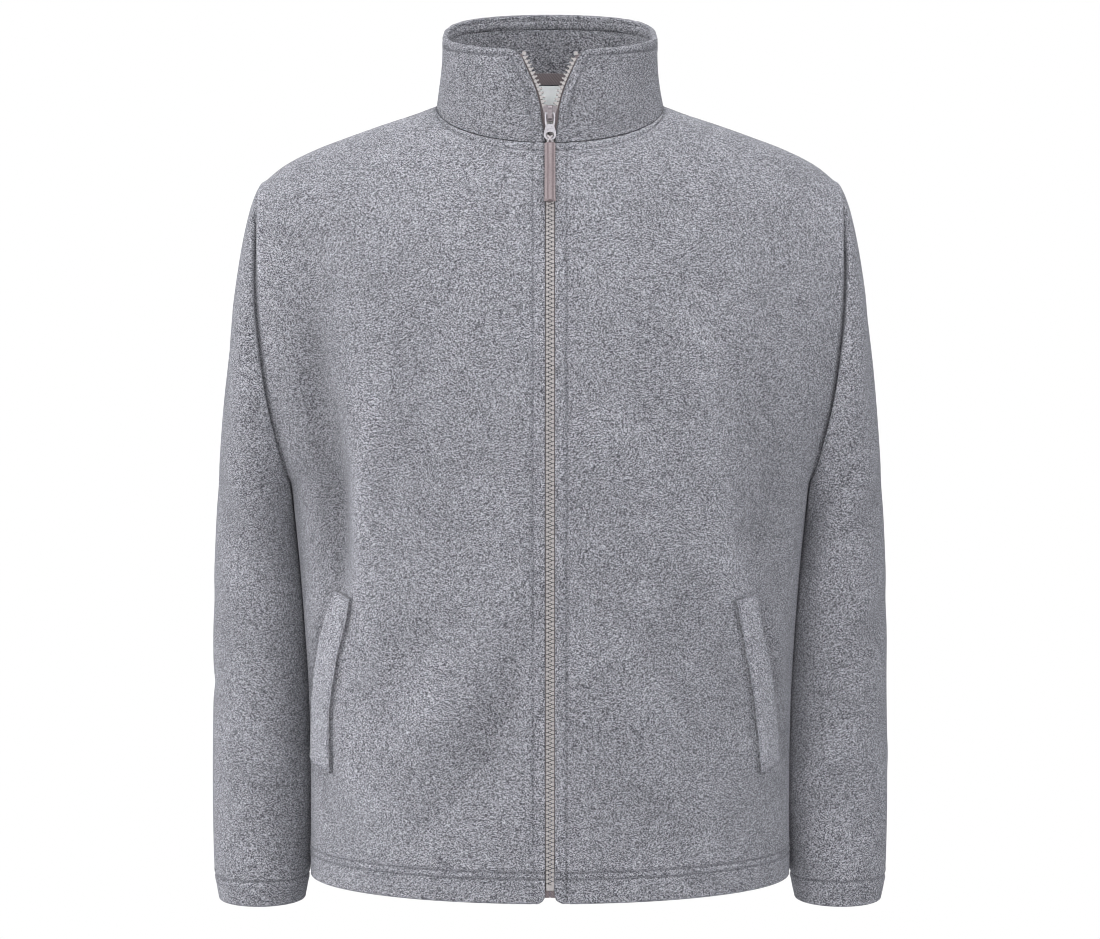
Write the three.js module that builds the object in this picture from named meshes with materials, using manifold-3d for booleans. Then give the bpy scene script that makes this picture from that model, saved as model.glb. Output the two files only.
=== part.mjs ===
// A man's fleece zip jacket with a stand collar, filled out as if worn, with no wearer.
// Sizes are millimetres. X runs to the wearer's left, Y to the back and Z up.
// The origin lies 5 mm below the line between the two side neck points, inside the wearer's neck.

import * as THREE from "three";
import { mergeVertices } from "three/addons/utils/BufferGeometryUtils.js";
import Module from "manifold-3d";

const CLOTH = 2.8; // one layer of fleece
const HEM_CLOTH = 4.4; // the hem and the cuffs, turned up once
const COLLAR_CLOTH = 5; // the collar, folded over at its top edge
const SEAM_GAP = 0.3; // between two pieces that are sewn together
const SLEEVE_CLEAR = 1; // between a hanging sleeve and the trunk
const HEM_DEPTH = 26;
const CUFF_DEPTH = 24;

const HEM_Z = -696;
const UNDERARM_Z = -335;
const CHEST_Z = -200; // above this line the panels curve over to the neck and shoulder
const ZIP_HALF_GAP = 4.3; // from the zip's middle to the folded front edge
const CORNER_RADIUS = 8; // the front panels' lower corners beside the zip

// The trunk's sections from hem to chest: the half width at the side seam and then at the armhole,
// where the side seam lies from front to back, and the middles of the front and the back.
const TRUNK = [
  { z: -696, side: 220, seam: -5, front: -126, back: 113 },
  { z: -600, side: 219.5, seam: -5, front: -125, back: 109 },
  { z: -520, side: 221, seam: -4, front: -127, back: 107 },
  { z: -430, side: 226.5, seam: -2, front: -130, back: 110 },
  { z: -370, side: 232, seam: 0, front: -132, back: 114 },
  { z: -335, side: 236, seam: 1.5, front: -133, back: 117 },
  { z: -300, side: 241.5, seam: 2, front: -133, back: 119 },
  { z: -250, side: 250, seam: 2, front: -131, back: 120 },
  { z: -200, side: 256, seam: 2, front: -127, back: 119 },
];
const ARMHOLE = { frontY: -50, backY: 54 }; // its widest, at the chest

const NECK = { side: 102, sideY: -2, sideZ: 5, frontY: -75, frontZ: -29, backY: 72, backZ: 28 };
const COLLAR_BACK_ROUND = 0.62; // under 1, the back of the collar's top edge is squarer than an ellipse
const COLLAR_WAIST = 2; // how far the collar's sides pull in halfway up
const COLLAR_TOP = { side: 96, sideY: -5, sideZ: 67, frontY: -68, frontZ: 52, backY: 58, backZ: 91 };

// The shoulder seam seen from the front, from the side neck point to the sleeve seam.
const SHOULDER = [
  { x: 102, z: 5 },
  { x: 120, z: -2 },
  { x: 152, z: -12.5 },
  { x: 183, z: -23.5 },
  { x: 212, z: -34.6 },
  { x: 240, z: -49 },
  { x: 262, z: -67 },
];
const NECK_SHARE = 0.4; // the share of a panel's columns that end at the neck
const NECK_TILT = 0.56; // how far the cloth at the middle of the neck leans from upright, in radians

// The sleeve from the elbow down: a table of level sections.
const SLEEVE = [
  { z: -400, middleX: 269.5, halfWidth: 38.8, middleY: 25, halfDepth: 57 },
  { z: -450, middleX: 267.2, halfWidth: 43.6, middleY: 26, halfDepth: 55 },
  { z: -520, middleX: 264.4, halfWidth: 46.8, middleY: 25, halfDepth: 52 },
  { z: -600, middleX: 264.2, halfWidth: 48.2, middleY: 22, halfDepth: 49 },
  { z: -660, middleX: 265.4, halfWidth: 46.8, middleY: 19, halfDepth: 46 },
  { z: -700, middleX: 267, halfWidth: 43.8, middleY: 17, halfDepth: 43 },
  { z: -724, middleX: 267.2, halfWidth: 39.8, middleY: 16, halfDepth: 39 },
];

// From the armhole to the elbow, the sleeve's long lines are cubics. These size their slopes: how far
// the cap runs out and down from the shoulder seam, how much fuller the front and back lie, how far the
// front swings forward, how far the underarm drops, and how strongly the lines reach down into the elbow.
const SLEEVE_CAP = { out: 68, down: 94, fuller: 34, inset: 3, forward: 30, drop: 70, elbow: 150 };

// The largest folds. A fold runs from one point to another, as seen from the front or back;
// a positive height is a ridge, a negative one a trough, and reach is its half width.
const FRONT_FOLDS = [
  { from: [-214, -200], to: [-196, -450], height: -7, reach: 22 },
  { from: [-172, -190], to: [-164, -480], height: 4, reach: 26 },
  { from: [-10, -505], to: [-108, -640], height: -4.5, reach: 26 },
  { from: [-60, -470], to: [-160, -600], height: 3, reach: 30 },
  { from: [60, -270], to: [172, -425], height: 3, reach: 28 },
  { from: [196, -330], to: [176, -400], height: -4, reach: 22 },
  { from: [214, -440], to: [216, -600], height: -3, reach: 16 },
];
const BACK_FOLDS = [
  { from: [-196, -230], to: [-176, -480], height: -6, reach: 26 },
  { from: [190, -240], to: [170, -500], height: -6, reach: 26 },
  { from: [-90, -360], to: [30, -470], height: -3.5, reach: 30 },
  { from: [110, -520], to: [20, -620], height: 3, reach: 30 },
];
// On a sleeve, around is the angle in degrees from its outer side towards the front.
const SLEEVE_FOLDS = [
  { around: [20, 95], z: [-330, -395], height: -4.5, reach: 20 },
  { around: [10, 100], z: [-440, -500], height: -4, reach: 22 },
  { around: [-150, -60], z: [-470, -430], height: -4, reach: 22 },
  { around: [60, 130], z: [-590, -640], height: -3, reach: 20 },
  { around: [-120, -40], z: [-620, -585], height: -3, reach: 20 },
];

const COLLAR_HEIGHT_STEPS = 6;
const COLLAR_FOOT = 0.007; // the share of the collar's height that is left open at the neck seam

// Smooth interpolation of a table's column, by Catmull-Rom with clamped ends.
function along(table, key, column, at) {
  const up = table[0][key] < table[table.length - 1][key];
  const last = table.length - 1;
  let i = 0;
  while (i < last - 1 && (up ? at > table[i + 1][key] : at < table[i + 1][key])) i++;
  const before = table[Math.max(i - 1, 0)];
  const low = table[i];
  const high = table[i + 1];
  const after = table[Math.min(i + 2, last)];
  const span = high[key] - low[key];
  const t = THREE.MathUtils.clamp((at - low[key]) / span, 0, 1);
  const slopeLow = ((high[column] - before[column]) / (high[key] - before[key])) * span;
  const slopeHigh = ((after[column] - low[column]) / (after[key] - low[key])) * span;
  return hermite(t, low[column], slopeLow, high[column], slopeHigh);
}

function hermite(t, start, startSlope, end, endSlope) {
  const t2 = t * t;
  const t3 = t2 * t;
  return (
    (2 * t3 - 3 * t2 + 1) * start +
    (t3 - 2 * t2 + t) * startSlope +
    (3 * t2 - 2 * t3) * end +
    (t3 - t2) * endSlope
  );
}

function hermitePoint(t, start, startSlope, end, endSlope) {
  return new THREE.Vector3(
    hermite(t, start.x, startSlope.x, end.x, endSlope.x),
    hermite(t, start.y, startSlope.y, end.y, endSlope.y),
    hermite(t, start.z, startSlope.z, end.z, endSlope.z),
  );
}

// A fold swells from this share of its height at one end to its middle, then dies away beside it.
const FOLD = { end: 0.12, fall: 1.4 };

// How far a set of folds moves the cloth out at a point of a flat view.
function foldHeight(folds, x, z) {
  let height = 0;
  for (const fold of folds) {
    const [x0, z0] = fold.from;
    const [x1, z1] = fold.to;
    const length2 = (x1 - x0) ** 2 + (z1 - z0) ** 2;
    const t = ((x - x0) * (x1 - x0) + (z - z0) * (z1 - z0)) / length2;
    const near = THREE.MathUtils.clamp(t, 0, 1);
    const away = Math.hypot(x - x0 - near * (x1 - x0), z - z0 - near * (z1 - z0)) / fold.reach;
    const swell = Math.sin(Math.PI * THREE.MathUtils.clamp(FOLD.end + (1 - 2 * FOLD.end) * t, 0, 1));
    height += fold.height * swell * Math.exp(-away * away * FOLD.fall);
  }
  return height;
}

// The angle round its section where a panel ends: a right angle at the side seam, and less
// above the underarm, where the rounded armhole cuts into it.
function panelEnd(face, z) {
  const seam = along(TRUNK, "z", "seam", z);
  const middle = along(TRUNK, "z", face < 0 ? "front" : "back", z);
  const widest = face < 0 ? ARMHOLE.frontY : ARMHOLE.backY;
  const rise = THREE.MathUtils.clamp((z - UNDERARM_Z) / (CHEST_Z - UNDERARM_Z), 0, 1);
  return Math.acos(((widest - seam) / (middle - seam)) * Math.sqrt(1 - (1 - rise) ** 2));
}

// A level section of the trunk: u runs from the middle to the panel's end.
function trunkSection(face, u, z) {
  const inner = face < 0 ? ZIP_HALF_GAP : 0;
  const seam = along(TRUNK, "z", "seam", z);
  const middle = along(TRUNK, "z", face < 0 ? "front" : "back", z);
  const end = panelEnd(face, z);
  const reach = (along(TRUNK, "z", "side", z) - inner) / Math.sin(end);
  return new THREE.Vector3(inner + reach * Math.sin(u * end), seam + (middle - seam) * Math.cos(u * end), z);
}

// How strongly the cloth arrives at the top edge, and the share of a panel where it lies flat there.
const YOKE = { reach: 0.95, tiltEnd: 0.56 };
const SLOPE_STEP = 2; // a step down the trunk for its slope at the chest

// The trunk's plain surface for x above 0. face is -1 for the front and 1 for the back;
// u runs from the middle to the side; h runs from 0 at the hem to 1 at the chest and 2 at the top.
function trunkPlain(face, u, h) {
  if (h <= 1) return trunkSection(face, u, HEM_Z + (CHEST_Z - HEM_Z) * h);
  const start = trunkSection(face, u, CHEST_Z);
  const rise = start.clone().sub(trunkSection(face, u, CHEST_Z - SLOPE_STEP)).divideScalar(SLOPE_STEP);
  const end = easedTopEdge(face, u, 2 - h);
  const reach = start.distanceTo(end);
  const tilt = NECK_TILT + (Math.PI / 2 - NECK_TILT) * THREE.MathUtils.smoothstep(u, 0, YOKE.tiltEnd);
  const over = new THREE.Vector3(0, -face * Math.sin(tilt), Math.cos(tilt));
  return hermitePoint(h - 1, start, rise.multiplyScalar(reach), end, over.multiplyScalar(reach * YOKE.reach));
}

const NECK_EASE = { step: 0.11, deepest: 0.6 };

// The top edge, with its corner at the side of the neck rounded off more the further below it.
function easedTopEdge(face, u, below) {
  const middle = topEdge(face, u);
  const step = NECK_EASE.step * Math.min(below, NECK_EASE.deepest);
  if (step <= 0) return middle;
  const first = topEdge(face, 0);
  const last = topEdge(face, 1);
  const sum = new THREE.Vector3();
  for (const [count, weight] of [[-2, 1], [-1, 2], [0, 3], [1, 2], [2, 1]]) {
    const at = u + count * step;
    const point = topEdge(face, at < 0 ? -at : Math.min(at, 2 - at));
    if (at < 0) point.x = 2 * first.x - point.x;
    if (at > 1) point.multiplyScalar(-1).addScaledVector(last, 2);
    sum.addScaledVector(point, weight / 9);
  }
  return sum;
}

// The neck seam, then the shoulder seam, as u runs from the middle to the sleeve.
function topEdge(face, u) {
  const inner = face < 0 ? ZIP_HALF_GAP : 0;
  if (u < NECK_SHARE) {
    const turn = (Math.PI / 2) * (u / NECK_SHARE);
    const middleY = face < 0 ? NECK.frontY : NECK.backY;
    const middleZ = face < 0 ? NECK.frontZ : NECK.backZ;
    return new THREE.Vector3(
      inner + (NECK.side - inner) * Math.sin(turn),
      NECK.sideY + (middleY - NECK.sideY) * Math.cos(turn),
      NECK.sideZ + (middleZ - NECK.sideZ) * Math.cos(turn),
    );
  }
  const share = (u - NECK_SHARE) / (1 - NECK_SHARE);
  const first = SHOULDER[0];
  const last = SHOULDER[SHOULDER.length - 1];
  const x = first.x + (last.x - first.x) * share;
  return new THREE.Vector3(x, NECK.sideY * (1 - share), along(SHOULDER, "x", "z", x));
}

const SMALL = 0.004; // a step along a surface for its slope
const STEADY_TOP = 1.985; // closer to the top edge, the trunk's slope is the one at this height
const BY_SEAM = 0.12; // the share of a panel beside its side seam where its folds die away
const BY_ZIP = [14, 50]; // from the zip's middle, where a front's folds die away
const UNDERARM_ROW = (UNDERARM_Z - HEM_Z) / (CHEST_Z - HEM_Z);

function crossNormal(point, u, h, uRange, hRange) {
  const u0 = Math.max(u - SMALL, uRange[0]);
  const u1 = Math.min(u + SMALL, uRange[1]);
  const h0 = Math.max(h - SMALL, hRange[0]);
  const h1 = Math.min(h + SMALL, hRange[1]);
  const du = point(u1, h).sub(point(u0, h));
  const dh = point(u, h1).sub(point(u, h0));
  return du.cross(dh).normalize();
}

// The trunk with its folds, on either side of the body.
function trunkPoint(face, side, u, h) {
  const plain = trunkPlain(face, u, h);
  const steady = Math.min(h, STEADY_TOP);
  const normal = crossNormal((a, b) => trunkPlain(face, a, b), u, steady, [0, 1], [0, STEADY_TOP]);
  normal.multiplyScalar(-face);
  const folds = face < 0 ? FRONT_FOLDS : BACK_FOLDS;
  const bySeam = THREE.MathUtils.smoothstep(1 - u, 0, BY_SEAM);
  const byZip = face < 0 ? THREE.MathUtils.smoothstep(plain.x, ...BY_ZIP) : 1;
  plain.addScaledVector(normal, foldHeight(folds, plain.x * side, plain.z) * bySeam * byZip);
  return plain.setX(plain.x * side);
}

function trunkNormal(face, side, u, h) {
  const steady = Math.min(h, STEADY_TOP);
  const point = (a, b) => trunkPoint(face, side, a, b);
  const normal = crossNormal(point, u, steady, [0, 1], [0, STEADY_TOP]);
  return normal.multiplyScalar(-face * side);
}

// The column and height of the front panel under a point of the front view, below the chest.
function frontColumn(x, z) {
  const reach = along(TRUNK, "z", "side", z) - ZIP_HALF_GAP;
  const end = panelEnd(-1, z);
  return {
    u: Math.asin(((x - ZIP_HALF_GAP) / reach) * Math.sin(end)) / end,
    h: (z - HEM_Z) / (CHEST_Z - HEM_Z),
  };
}

// Half the collar's width at a share v of its height.
function collarSide(v) {
  return NECK.side + (COLLAR_TOP.side - NECK.side) * v - COLLAR_WAIST * Math.sin(Math.PI * v);
}

// The collar's surface. turn is 0 at the middle of the front, and pi at the middle of the back.
function collarPlain(turn, v) {
  const mix = (low, high) => low + (high - low) * v;
  const sideY = mix(NECK.sideY, COLLAR_TOP.sideY);
  const forward = Math.cos(turn);
  const middleY = forward > 0 ? mix(NECK.frontY, COLLAR_TOP.frontY) : mix(NECK.backY, COLLAR_TOP.backY);
  const middleZ = forward > 0 ? mix(NECK.frontZ, COLLAR_TOP.frontZ) : mix(NECK.backZ, COLLAR_TOP.backZ);
  const sideZ = mix(NECK.sideZ, COLLAR_TOP.sideZ);
  const round = forward > 0 ? 1 : mix(1, COLLAR_BACK_ROUND);
  const lift = Math.abs(forward) ** round;
  return new THREE.Vector3(
    collarSide(v) * Math.sin(turn),
    sideY + (middleY - sideY) * lift,
    sideZ + (middleZ - sideZ) * lift,
  );
}

// Half the width of the opening between the collar's front edges, and of the zip's two chains there.
const OPENING = [
  { z: -30, edge: 4.3, chain: 0.15 },
  { z: -16, edge: 5.6, chain: 0.15 },
  { z: -10, edge: 6.9, chain: 0.3 },
  { z: 3, edge: 8.4, chain: 3.4 },
  { z: 16.8, edge: 12.2, chain: 7.2 },
  { z: 30, edge: 17.6, chain: 12.6 },
  { z: 41, edge: 22.8, chain: 17.8 },
  { z: 47, edge: 26, chain: 20.8 },
  { z: 52, edge: 33, chain: 23.6 },
];

function frontEdgeZ(v) {
  return NECK.frontZ + (COLLAR_TOP.frontZ - NECK.frontZ) * v;
}

function frontEdgeTurn(v) {
  return Math.asin(along(OPENING, "z", "edge", frontEdgeZ(v)) / collarSide(v));
}

// across is 0 at the middle of the back and -1 or 1 at the front edges.
function collarPoint(across, v) {
  const edge = frontEdgeTurn(v);
  const turn = edge + (Math.PI - edge) * (1 - Math.abs(across));
  const point = collarPlain(turn, v);
  return point.setX(point.x * Math.sign(across || 1));
}

function collarNormal(across, v) {
  const side = Math.sign(across || 1);
  const point = (a, b) => collarPoint(side * a, b);
  const normal = crossNormal(point, Math.max(Math.abs(across), SMALL), v, [SMALL / 2, 1], [0, 1]);
  normal.multiplyScalar(-side);
  if (Math.abs(across) < SMALL) normal.setX(0).normalize();
  return normal.multiplyScalar(Math.sign(normal.dot(collarPoint(across, v).setZ(0))) || 1);
}

// The armhole loop: around is 0 at the shoulder, 90 degrees at the front, 180 at the underarm.
function armhole(around) {
  const turn = THREE.MathUtils.euclideanModulo(around, 2 * Math.PI);
  const face = turn < Math.PI ? -1 : 1;
  const fall = turn < Math.PI ? turn : 2 * Math.PI - turn;
  if (fall <= Math.PI / 2) return trunkPlain(face, 1, 2 - fall / (Math.PI / 2));
  return trunkPlain(face, 1, 1 + (1 - UNDERARM_ROW) * Math.cos(fall));
}

// Keeps a sleeve's point clear of the trunk that it hangs against.
function besideTrunk(point) {
  if (point.z > UNDERARM_Z) return point;
  const seam = along(TRUNK, "z", "seam", point.z);
  const middle = along(TRUNK, "z", point.y < seam ? "front" : "back", point.z);
  const share = Math.min((point.y - seam) / (middle - seam), 1);
  const trunkX = along(TRUNK, "z", "side", point.z) * Math.sqrt(1 - share * share);
  return point.setX(Math.max(point.x, trunkX + SLEEVE_CLEAR));
}

// The sleeve's plain surface for x above 0: along is 0 at the armhole, 1 at the elbow and 2 at the cuff.
function sleevePlain(around, length) {
  const out = Math.cos(around);
  const front = Math.sin(around);
  const level = (z) => {
    const middleX = along(SLEEVE, "z", "middleX", z);
    const middleY = along(SLEEVE, "z", "middleY", z);
    const width = along(SLEEVE, "z", "halfWidth", z) * out;
    return besideTrunk(
      new THREE.Vector3(middleX + width, middleY - along(SLEEVE, "z", "halfDepth", z) * front, z),
    );
  };
  const elbow = SLEEVE[0].z;
  const cuff = SLEEVE[SLEEVE.length - 1].z;
  if (length >= 1) return level(elbow + (cuff - elbow) * (length - 1));
  const upper = (1 + out) / 2;
  const leave = new THREE.Vector3(
    SLEEVE_CAP.out * upper + SLEEVE_CAP.fuller * front * front - SLEEVE_CAP.inset,
    -SLEEVE_CAP.forward * front,
    -SLEEVE_CAP.down * upper - SLEEVE_CAP.drop * (1 - upper),
  );
  const start = armhole(around).addScaledVector(leave.clone().normalize(), 2 * SEAM_GAP * upper);
  start.x += 1.4 * SEAM_GAP;
  const arrive = level(elbow - 1).sub(level(elbow)).multiplyScalar(SLEEVE_CAP.elbow * (1 + upper));
  return besideTrunk(hermitePoint(length, start, leave, level(elbow), arrive));
}

function sleevePoint(side, around, length) {
  const plain = sleevePlain(around, length);
  const du = sleevePlain(around + 0.01, length).sub(sleevePlain(around - 0.01, length));
  const down = sleevePlain(around, Math.min(length + 0.01, 2));
  const dl = down.sub(sleevePlain(around, Math.max(length - 0.01, 0)));
  const normal = du.cross(dl).normalize();
  const degrees = THREE.MathUtils.radToDeg(Math.atan2(Math.sin(around), Math.cos(around)));
  const flat = SLEEVE_FOLDS.map((fold) => ({
    from: [fold.around[0], fold.z[0]],
    to: [fold.around[1], fold.z[1]],
    height: fold.height,
    reach: fold.reach,
  }));
  const calm = THREE.MathUtils.smoothstep(length, 0, 0.35);
  plain.addScaledVector(normal, foldHeight(flat, degrees, plain.z) * calm);
  return plain.setX(plain.x * side);
}

// A closed wall from a grid of outer points and the depth of cloth behind each of them.
// The grid is rows of points; loop joins each row's end to its start.
function wallGeometry(outer, inner, loop = false) {
  const rows = outer.length;
  const columns = outer[0].length;
  const positions = [];
  for (const grid of [outer, inner])
    for (const row of grid) for (const p of row) positions.push(p.x, p.y, p.z);
  const at = (layer, r, c) => layer * rows * columns + r * columns + (c % columns);
  const index = [];
  const quad = (a, b, c, d) => index.push(a, b, c, a, c, d);
  const lastColumn = loop ? columns : columns - 1;
  for (let r = 0; r < rows - 1; r++)
    for (let c = 0; c < lastColumn; c++) {
      quad(at(0, r, c), at(0, r, c + 1), at(0, r + 1, c + 1), at(0, r + 1, c));
      quad(at(1, r, c), at(1, r + 1, c), at(1, r + 1, c + 1), at(1, r, c + 1));
    }
  for (let c = 0; c < lastColumn; c++) {
    quad(at(0, 0, c), at(1, 0, c), at(1, 0, c + 1), at(0, 0, c + 1));
    quad(at(0, rows - 1, c + 1), at(1, rows - 1, c + 1), at(1, rows - 1, c), at(0, rows - 1, c));
  }
  if (!loop)
    for (let r = 0; r < rows - 1; r++) {
      quad(at(0, r + 1, 0), at(1, r + 1, 0), at(1, r, 0), at(0, r, 0));
      quad(at(0, r, columns - 1), at(1, r, columns - 1), at(1, r + 1, columns - 1), at(0, r + 1, columns - 1));
    }
  const geometry = new THREE.BufferGeometry();
  geometry.setAttribute("position", new THREE.Float32BufferAttribute(positions, 3));
  geometry.setIndex(index);
  return volumeOf(geometry) < 0 ? turnedOut(geometry) : geometry;
}

function volumeOf(geometry) {
  const p = geometry.getAttribute("position");
  const index = geometry.getIndex().array;
  const [a, b, c] = [new THREE.Vector3(), new THREE.Vector3(), new THREE.Vector3()];
  let volume = 0;
  for (let i = 0; i < index.length; i += 3) {
    a.fromBufferAttribute(p, index[i]);
    b.fromBufferAttribute(p, index[i + 1]);
    c.fromBufferAttribute(p, index[i + 2]);
    volume += a.dot(b.cross(c));
  }
  return volume / 6;
}

function turnedOut(geometry) {
  const index = Array.from(geometry.getIndex().array);
  for (let i = 0; i < index.length; i += 3) [index[i + 1], index[i + 2]] = [index[i + 2], index[i + 1]];
  geometry.setIndex(index);
  return geometry;
}

function gridOf(rows, columns, make) {
  return rows.map((row) => columns.map((column) => make(column, row)));
}

function evenly(from, to, steps) {
  return Array.from({ length: steps + 1 }, (_, i) => from + ((to - from) * i) / steps);
}

// Heights on the trunk, from the hem to the top edge.
const hemTurn = HEM_DEPTH / (CHEST_Z - HEM_Z);
const ARMHOLE_STEPS = 5;
const SHOULDER_STEPS = 9;
const TRUNK_ROWS = [
  0,
  hemTurn * 0.5,
  ...evenly(hemTurn, UNDERARM_ROW, 11),
  ...evenly(0, Math.PI / 2, ARMHOLE_STEPS).slice(1).map((turn) => 1 - (1 - UNDERARM_ROW) * Math.cos(turn)),
  ...evenly(1, 1.998, SHOULDER_STEPS).slice(1),
];
const SIDE_END = 0.9991; // leaves half of the side seam's gap

const hemCloth = (h) => (h < hemTurn * 1.01 ? HEM_CLOTH : CLOTH);

// The front panels' lower corner beside the zip is rounded.
function cornerLift(fromEdge) {
  const inside = THREE.MathUtils.clamp(CORNER_RADIUS - fromEdge, 0, CORNER_RADIUS);
  return CORNER_RADIUS - Math.sqrt(CORNER_RADIUS ** 2 - inside ** 2);
}

function trunkWall(face, columns, sideOf) {
  const outer = gridOf(TRUNK_ROWS, columns, (u, h) => {
    const point = trunkPoint(face, sideOf(u), Math.abs(u), h);
    if (face < 0 && h === 0) point.z += cornerLift(Math.abs(point.x) - ZIP_HALF_GAP);
    return point;
  });
  const inner = outer.map((row, r) =>
    row.map((point, c) => {
      const u = columns[c];
      const normal = trunkNormal(face, sideOf(u), Math.abs(u), TRUNK_ROWS[r]);
      if (face > 0 && u === 0) normal.setX(0).normalize();
      return point.clone().addScaledVector(normal, -hemCloth(TRUNK_ROWS[r]));
    }),
  );
  return wallGeometry(outer, inner);
}

const FRONT_COLUMNS = [0, 0.012, 0.03, 0.07, ...evenly(0.13, SIDE_END, 13)]; // closer together by the zip

function frontPanel(side) {
  return trunkWall(-1, FRONT_COLUMNS, () => side);
}

function backPanel() {
  const half = evenly(0, SIDE_END, 13);
  const columns = [...half.slice(1).map((u) => -u).reverse(), ...half];
  return trunkWall(1, columns, (u) => (u < 0 ? -1 : 1));
}

function sleeve(side) {
  const upper = evenly(0, Math.PI / 2, SHOULDER_STEPS);
  const lower = evenly(Math.PI / 2, Math.PI, ARMHOLE_STEPS).slice(1);
  const half = [...upper, ...lower];
  const columns = [...half, ...half.slice(1, -1).map((a) => 2 * Math.PI - a).reverse()];
  const cuffTurn = 2 - CUFF_DEPTH / (SLEEVE[0].z - SLEEVE[SLEEVE.length - 1].z);
  const rows = [...evenly(0, 1, 10), ...evenly(1, cuffTurn, 9).slice(1), (2 + cuffTurn) / 2, 2];
  const outer = gridOf(rows, columns, (around, length) => sleevePoint(side, around, length));
  const inner = outer.map((row, r) =>
    row.map((point, c) => {
      const next = row[(c + 1) % row.length].clone().sub(row[(c + row.length - 1) % row.length]);
      const down = outer[Math.min(r + 1, rows.length - 1)][c].clone().sub(outer[Math.max(r - 1, 0)][c]);
      const normal = next.cross(down).normalize().multiplyScalar(side);
      return point.clone().addScaledVector(normal, -(rows[r] > cuffTurn - 0.01 ? HEM_CLOTH : CLOTH));
    }),
  );
  return wallGeometry(outer, inner, true);
}

const COLLAR_COLUMNS = [...evenly(0, 0.86, 13), 0.93, 0.97, 1]; // from the middle of the back

function collar() {
  const columns = [...COLLAR_COLUMNS.slice(1).map((a) => -a).reverse(), ...COLLAR_COLUMNS];
  const rows = evenly(COLLAR_FOOT, 1, COLLAR_HEIGHT_STEPS);
  const outer = gridOf(rows, columns, collarPoint);
  const inner = gridOf(rows, columns, (across, v) =>
    collarPoint(across, v).addScaledVector(collarNormal(across, v), -COLLAR_CLOTH),
  );
  return wallGeometry(outer, inner);
}

// The welt of a slanting pocket, from its upper inner corner; outward is towards the side seam.
const WELT = { width: 20, thickness: 3.2, clear: 0.55, skew: 5 };
const WELT_PLACE = {
  left: { side: 1, top: [160, -430], bottom: [186, -590], bow: 4 },
  right: { side: -1, top: [174, -430], bottom: [196, -592], bow: 4 },
};

function pocketWelt({ side, top, bottom, bow }) {
  const place = (across, down, out) => {
    const x = top[0] + (bottom[0] - top[0]) * down + bow * Math.sin(Math.PI * down) + WELT.width * across;
    const z = top[1] + (bottom[1] - top[1]) * down + WELT.skew * across;
    const { u, h } = frontColumn(x, z);
    return trunkPoint(-1, side, u, h).addScaledVector(trunkNormal(-1, side, u, h), out);
  };
  const rows = evenly(0, 1, 12);
  const columns = evenly(0, 1, 3);
  const outer = gridOf(rows, columns, (across, down) => place(across, down, WELT.clear + WELT.thickness));
  const inner = gridOf(rows, columns, (across, down) => place(across, down, WELT.clear));
  return wallGeometry(outer, inner);
}

const NECK_TAPE = { top: 0.17, steps: 6, clear: 0.35, thickness: 1 };

function neckTape() {
  const half = COLLAR_COLUMNS.slice(0, NECK_TAPE.steps + 1);
  const columns = [...half.slice(1).map((a) => -a).reverse(), ...half];
  const depth = COLLAR_CLOTH + NECK_TAPE.clear;
  const layer = (out) =>
    gridOf([COLLAR_FOOT, NECK_TAPE.top], columns, (across, v) =>
      collarPoint(across, v).addScaledVector(collarNormal(across, v), -(depth + out)),
    );
  return wallGeometry(layer(0), layer(NECK_TAPE.thickness));
}

const LABEL = { width: 46, height: 40, thickness: 1, below: 2.4, swing: 3 };

function neckLabel() {
  const layer = (out) =>
    gridOf(evenly(0, 1, 4), evenly(-0.5, 0.5, 4), (across, down) => {
      const turn = Math.PI - (across * LABEL.width) / NECK.side;
      const point = collarPlain(Math.abs(turn), COLLAR_FOOT);
      const normal = new THREE.Vector3(point.x / NECK.side, point.y / NECK.backY, 0).normalize();
      point.addScaledVector(normal, -(COLLAR_CLOTH + NECK_TAPE.clear + out));
      point.z -= LABEL.below + LABEL.height * down;
      point.y += LABEL.swing * down;
      return point;
    });
  return wallGeometry(layer(0), layer(LABEL.thickness));
}

// The zip. A strip follows the front edge: its section is given by two offsets from the edge
// towards the middle, and two depths below the cloth's outer face.
const ZIP_BOTTOM = -691;
const CHAIN_BOTTOM = -678.6;
const TAPE = { width: 11, depth: 3.3, thickness: 1, middleGap: 0.3, chainGap: 0.5, step: 0.0004 };
const CHAIN = { width: 3, depth: 2.2, thickness: 2.6, middleGap: 0.15 };
// Through the collar the chains follow the opening's edges, from one share of its height to another.
const OPEN_CHAIN = { from: 0.06, to: 0.93, steps: 16, depth: 1.7, width: 4.4, edgeGap: 0.4 };
const heightOf = (z) => (z - HEM_Z) / (CHEST_Z - HEM_Z);

// The box joins the two tapes under the chain's end; the tapes close up at its foot.
const BOX = { width: 6.4, depth: 3, height: 4.8, below: 0.5, foot: 6 };

// Points of the panel's edge from the hem to the neck: the outer point and the outward direction.
function panelEdge(side, h) {
  return { point: trunkPoint(-1, side, 0, h), out: trunkNormal(-1, side, 0, h).setX(0).normalize() };
}

// The front panel's column that lies at a distance from the zip's middle.
function columnAt(x, h) {
  let [low, high] = [0, 0.3];
  for (let i = 0; i < 24; i++) {
    const middle = (low + high) / 2;
    if (trunkPlain(-1, middle, h).x < x) low = middle;
    else high = middle;
  }
  return high;
}

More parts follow.
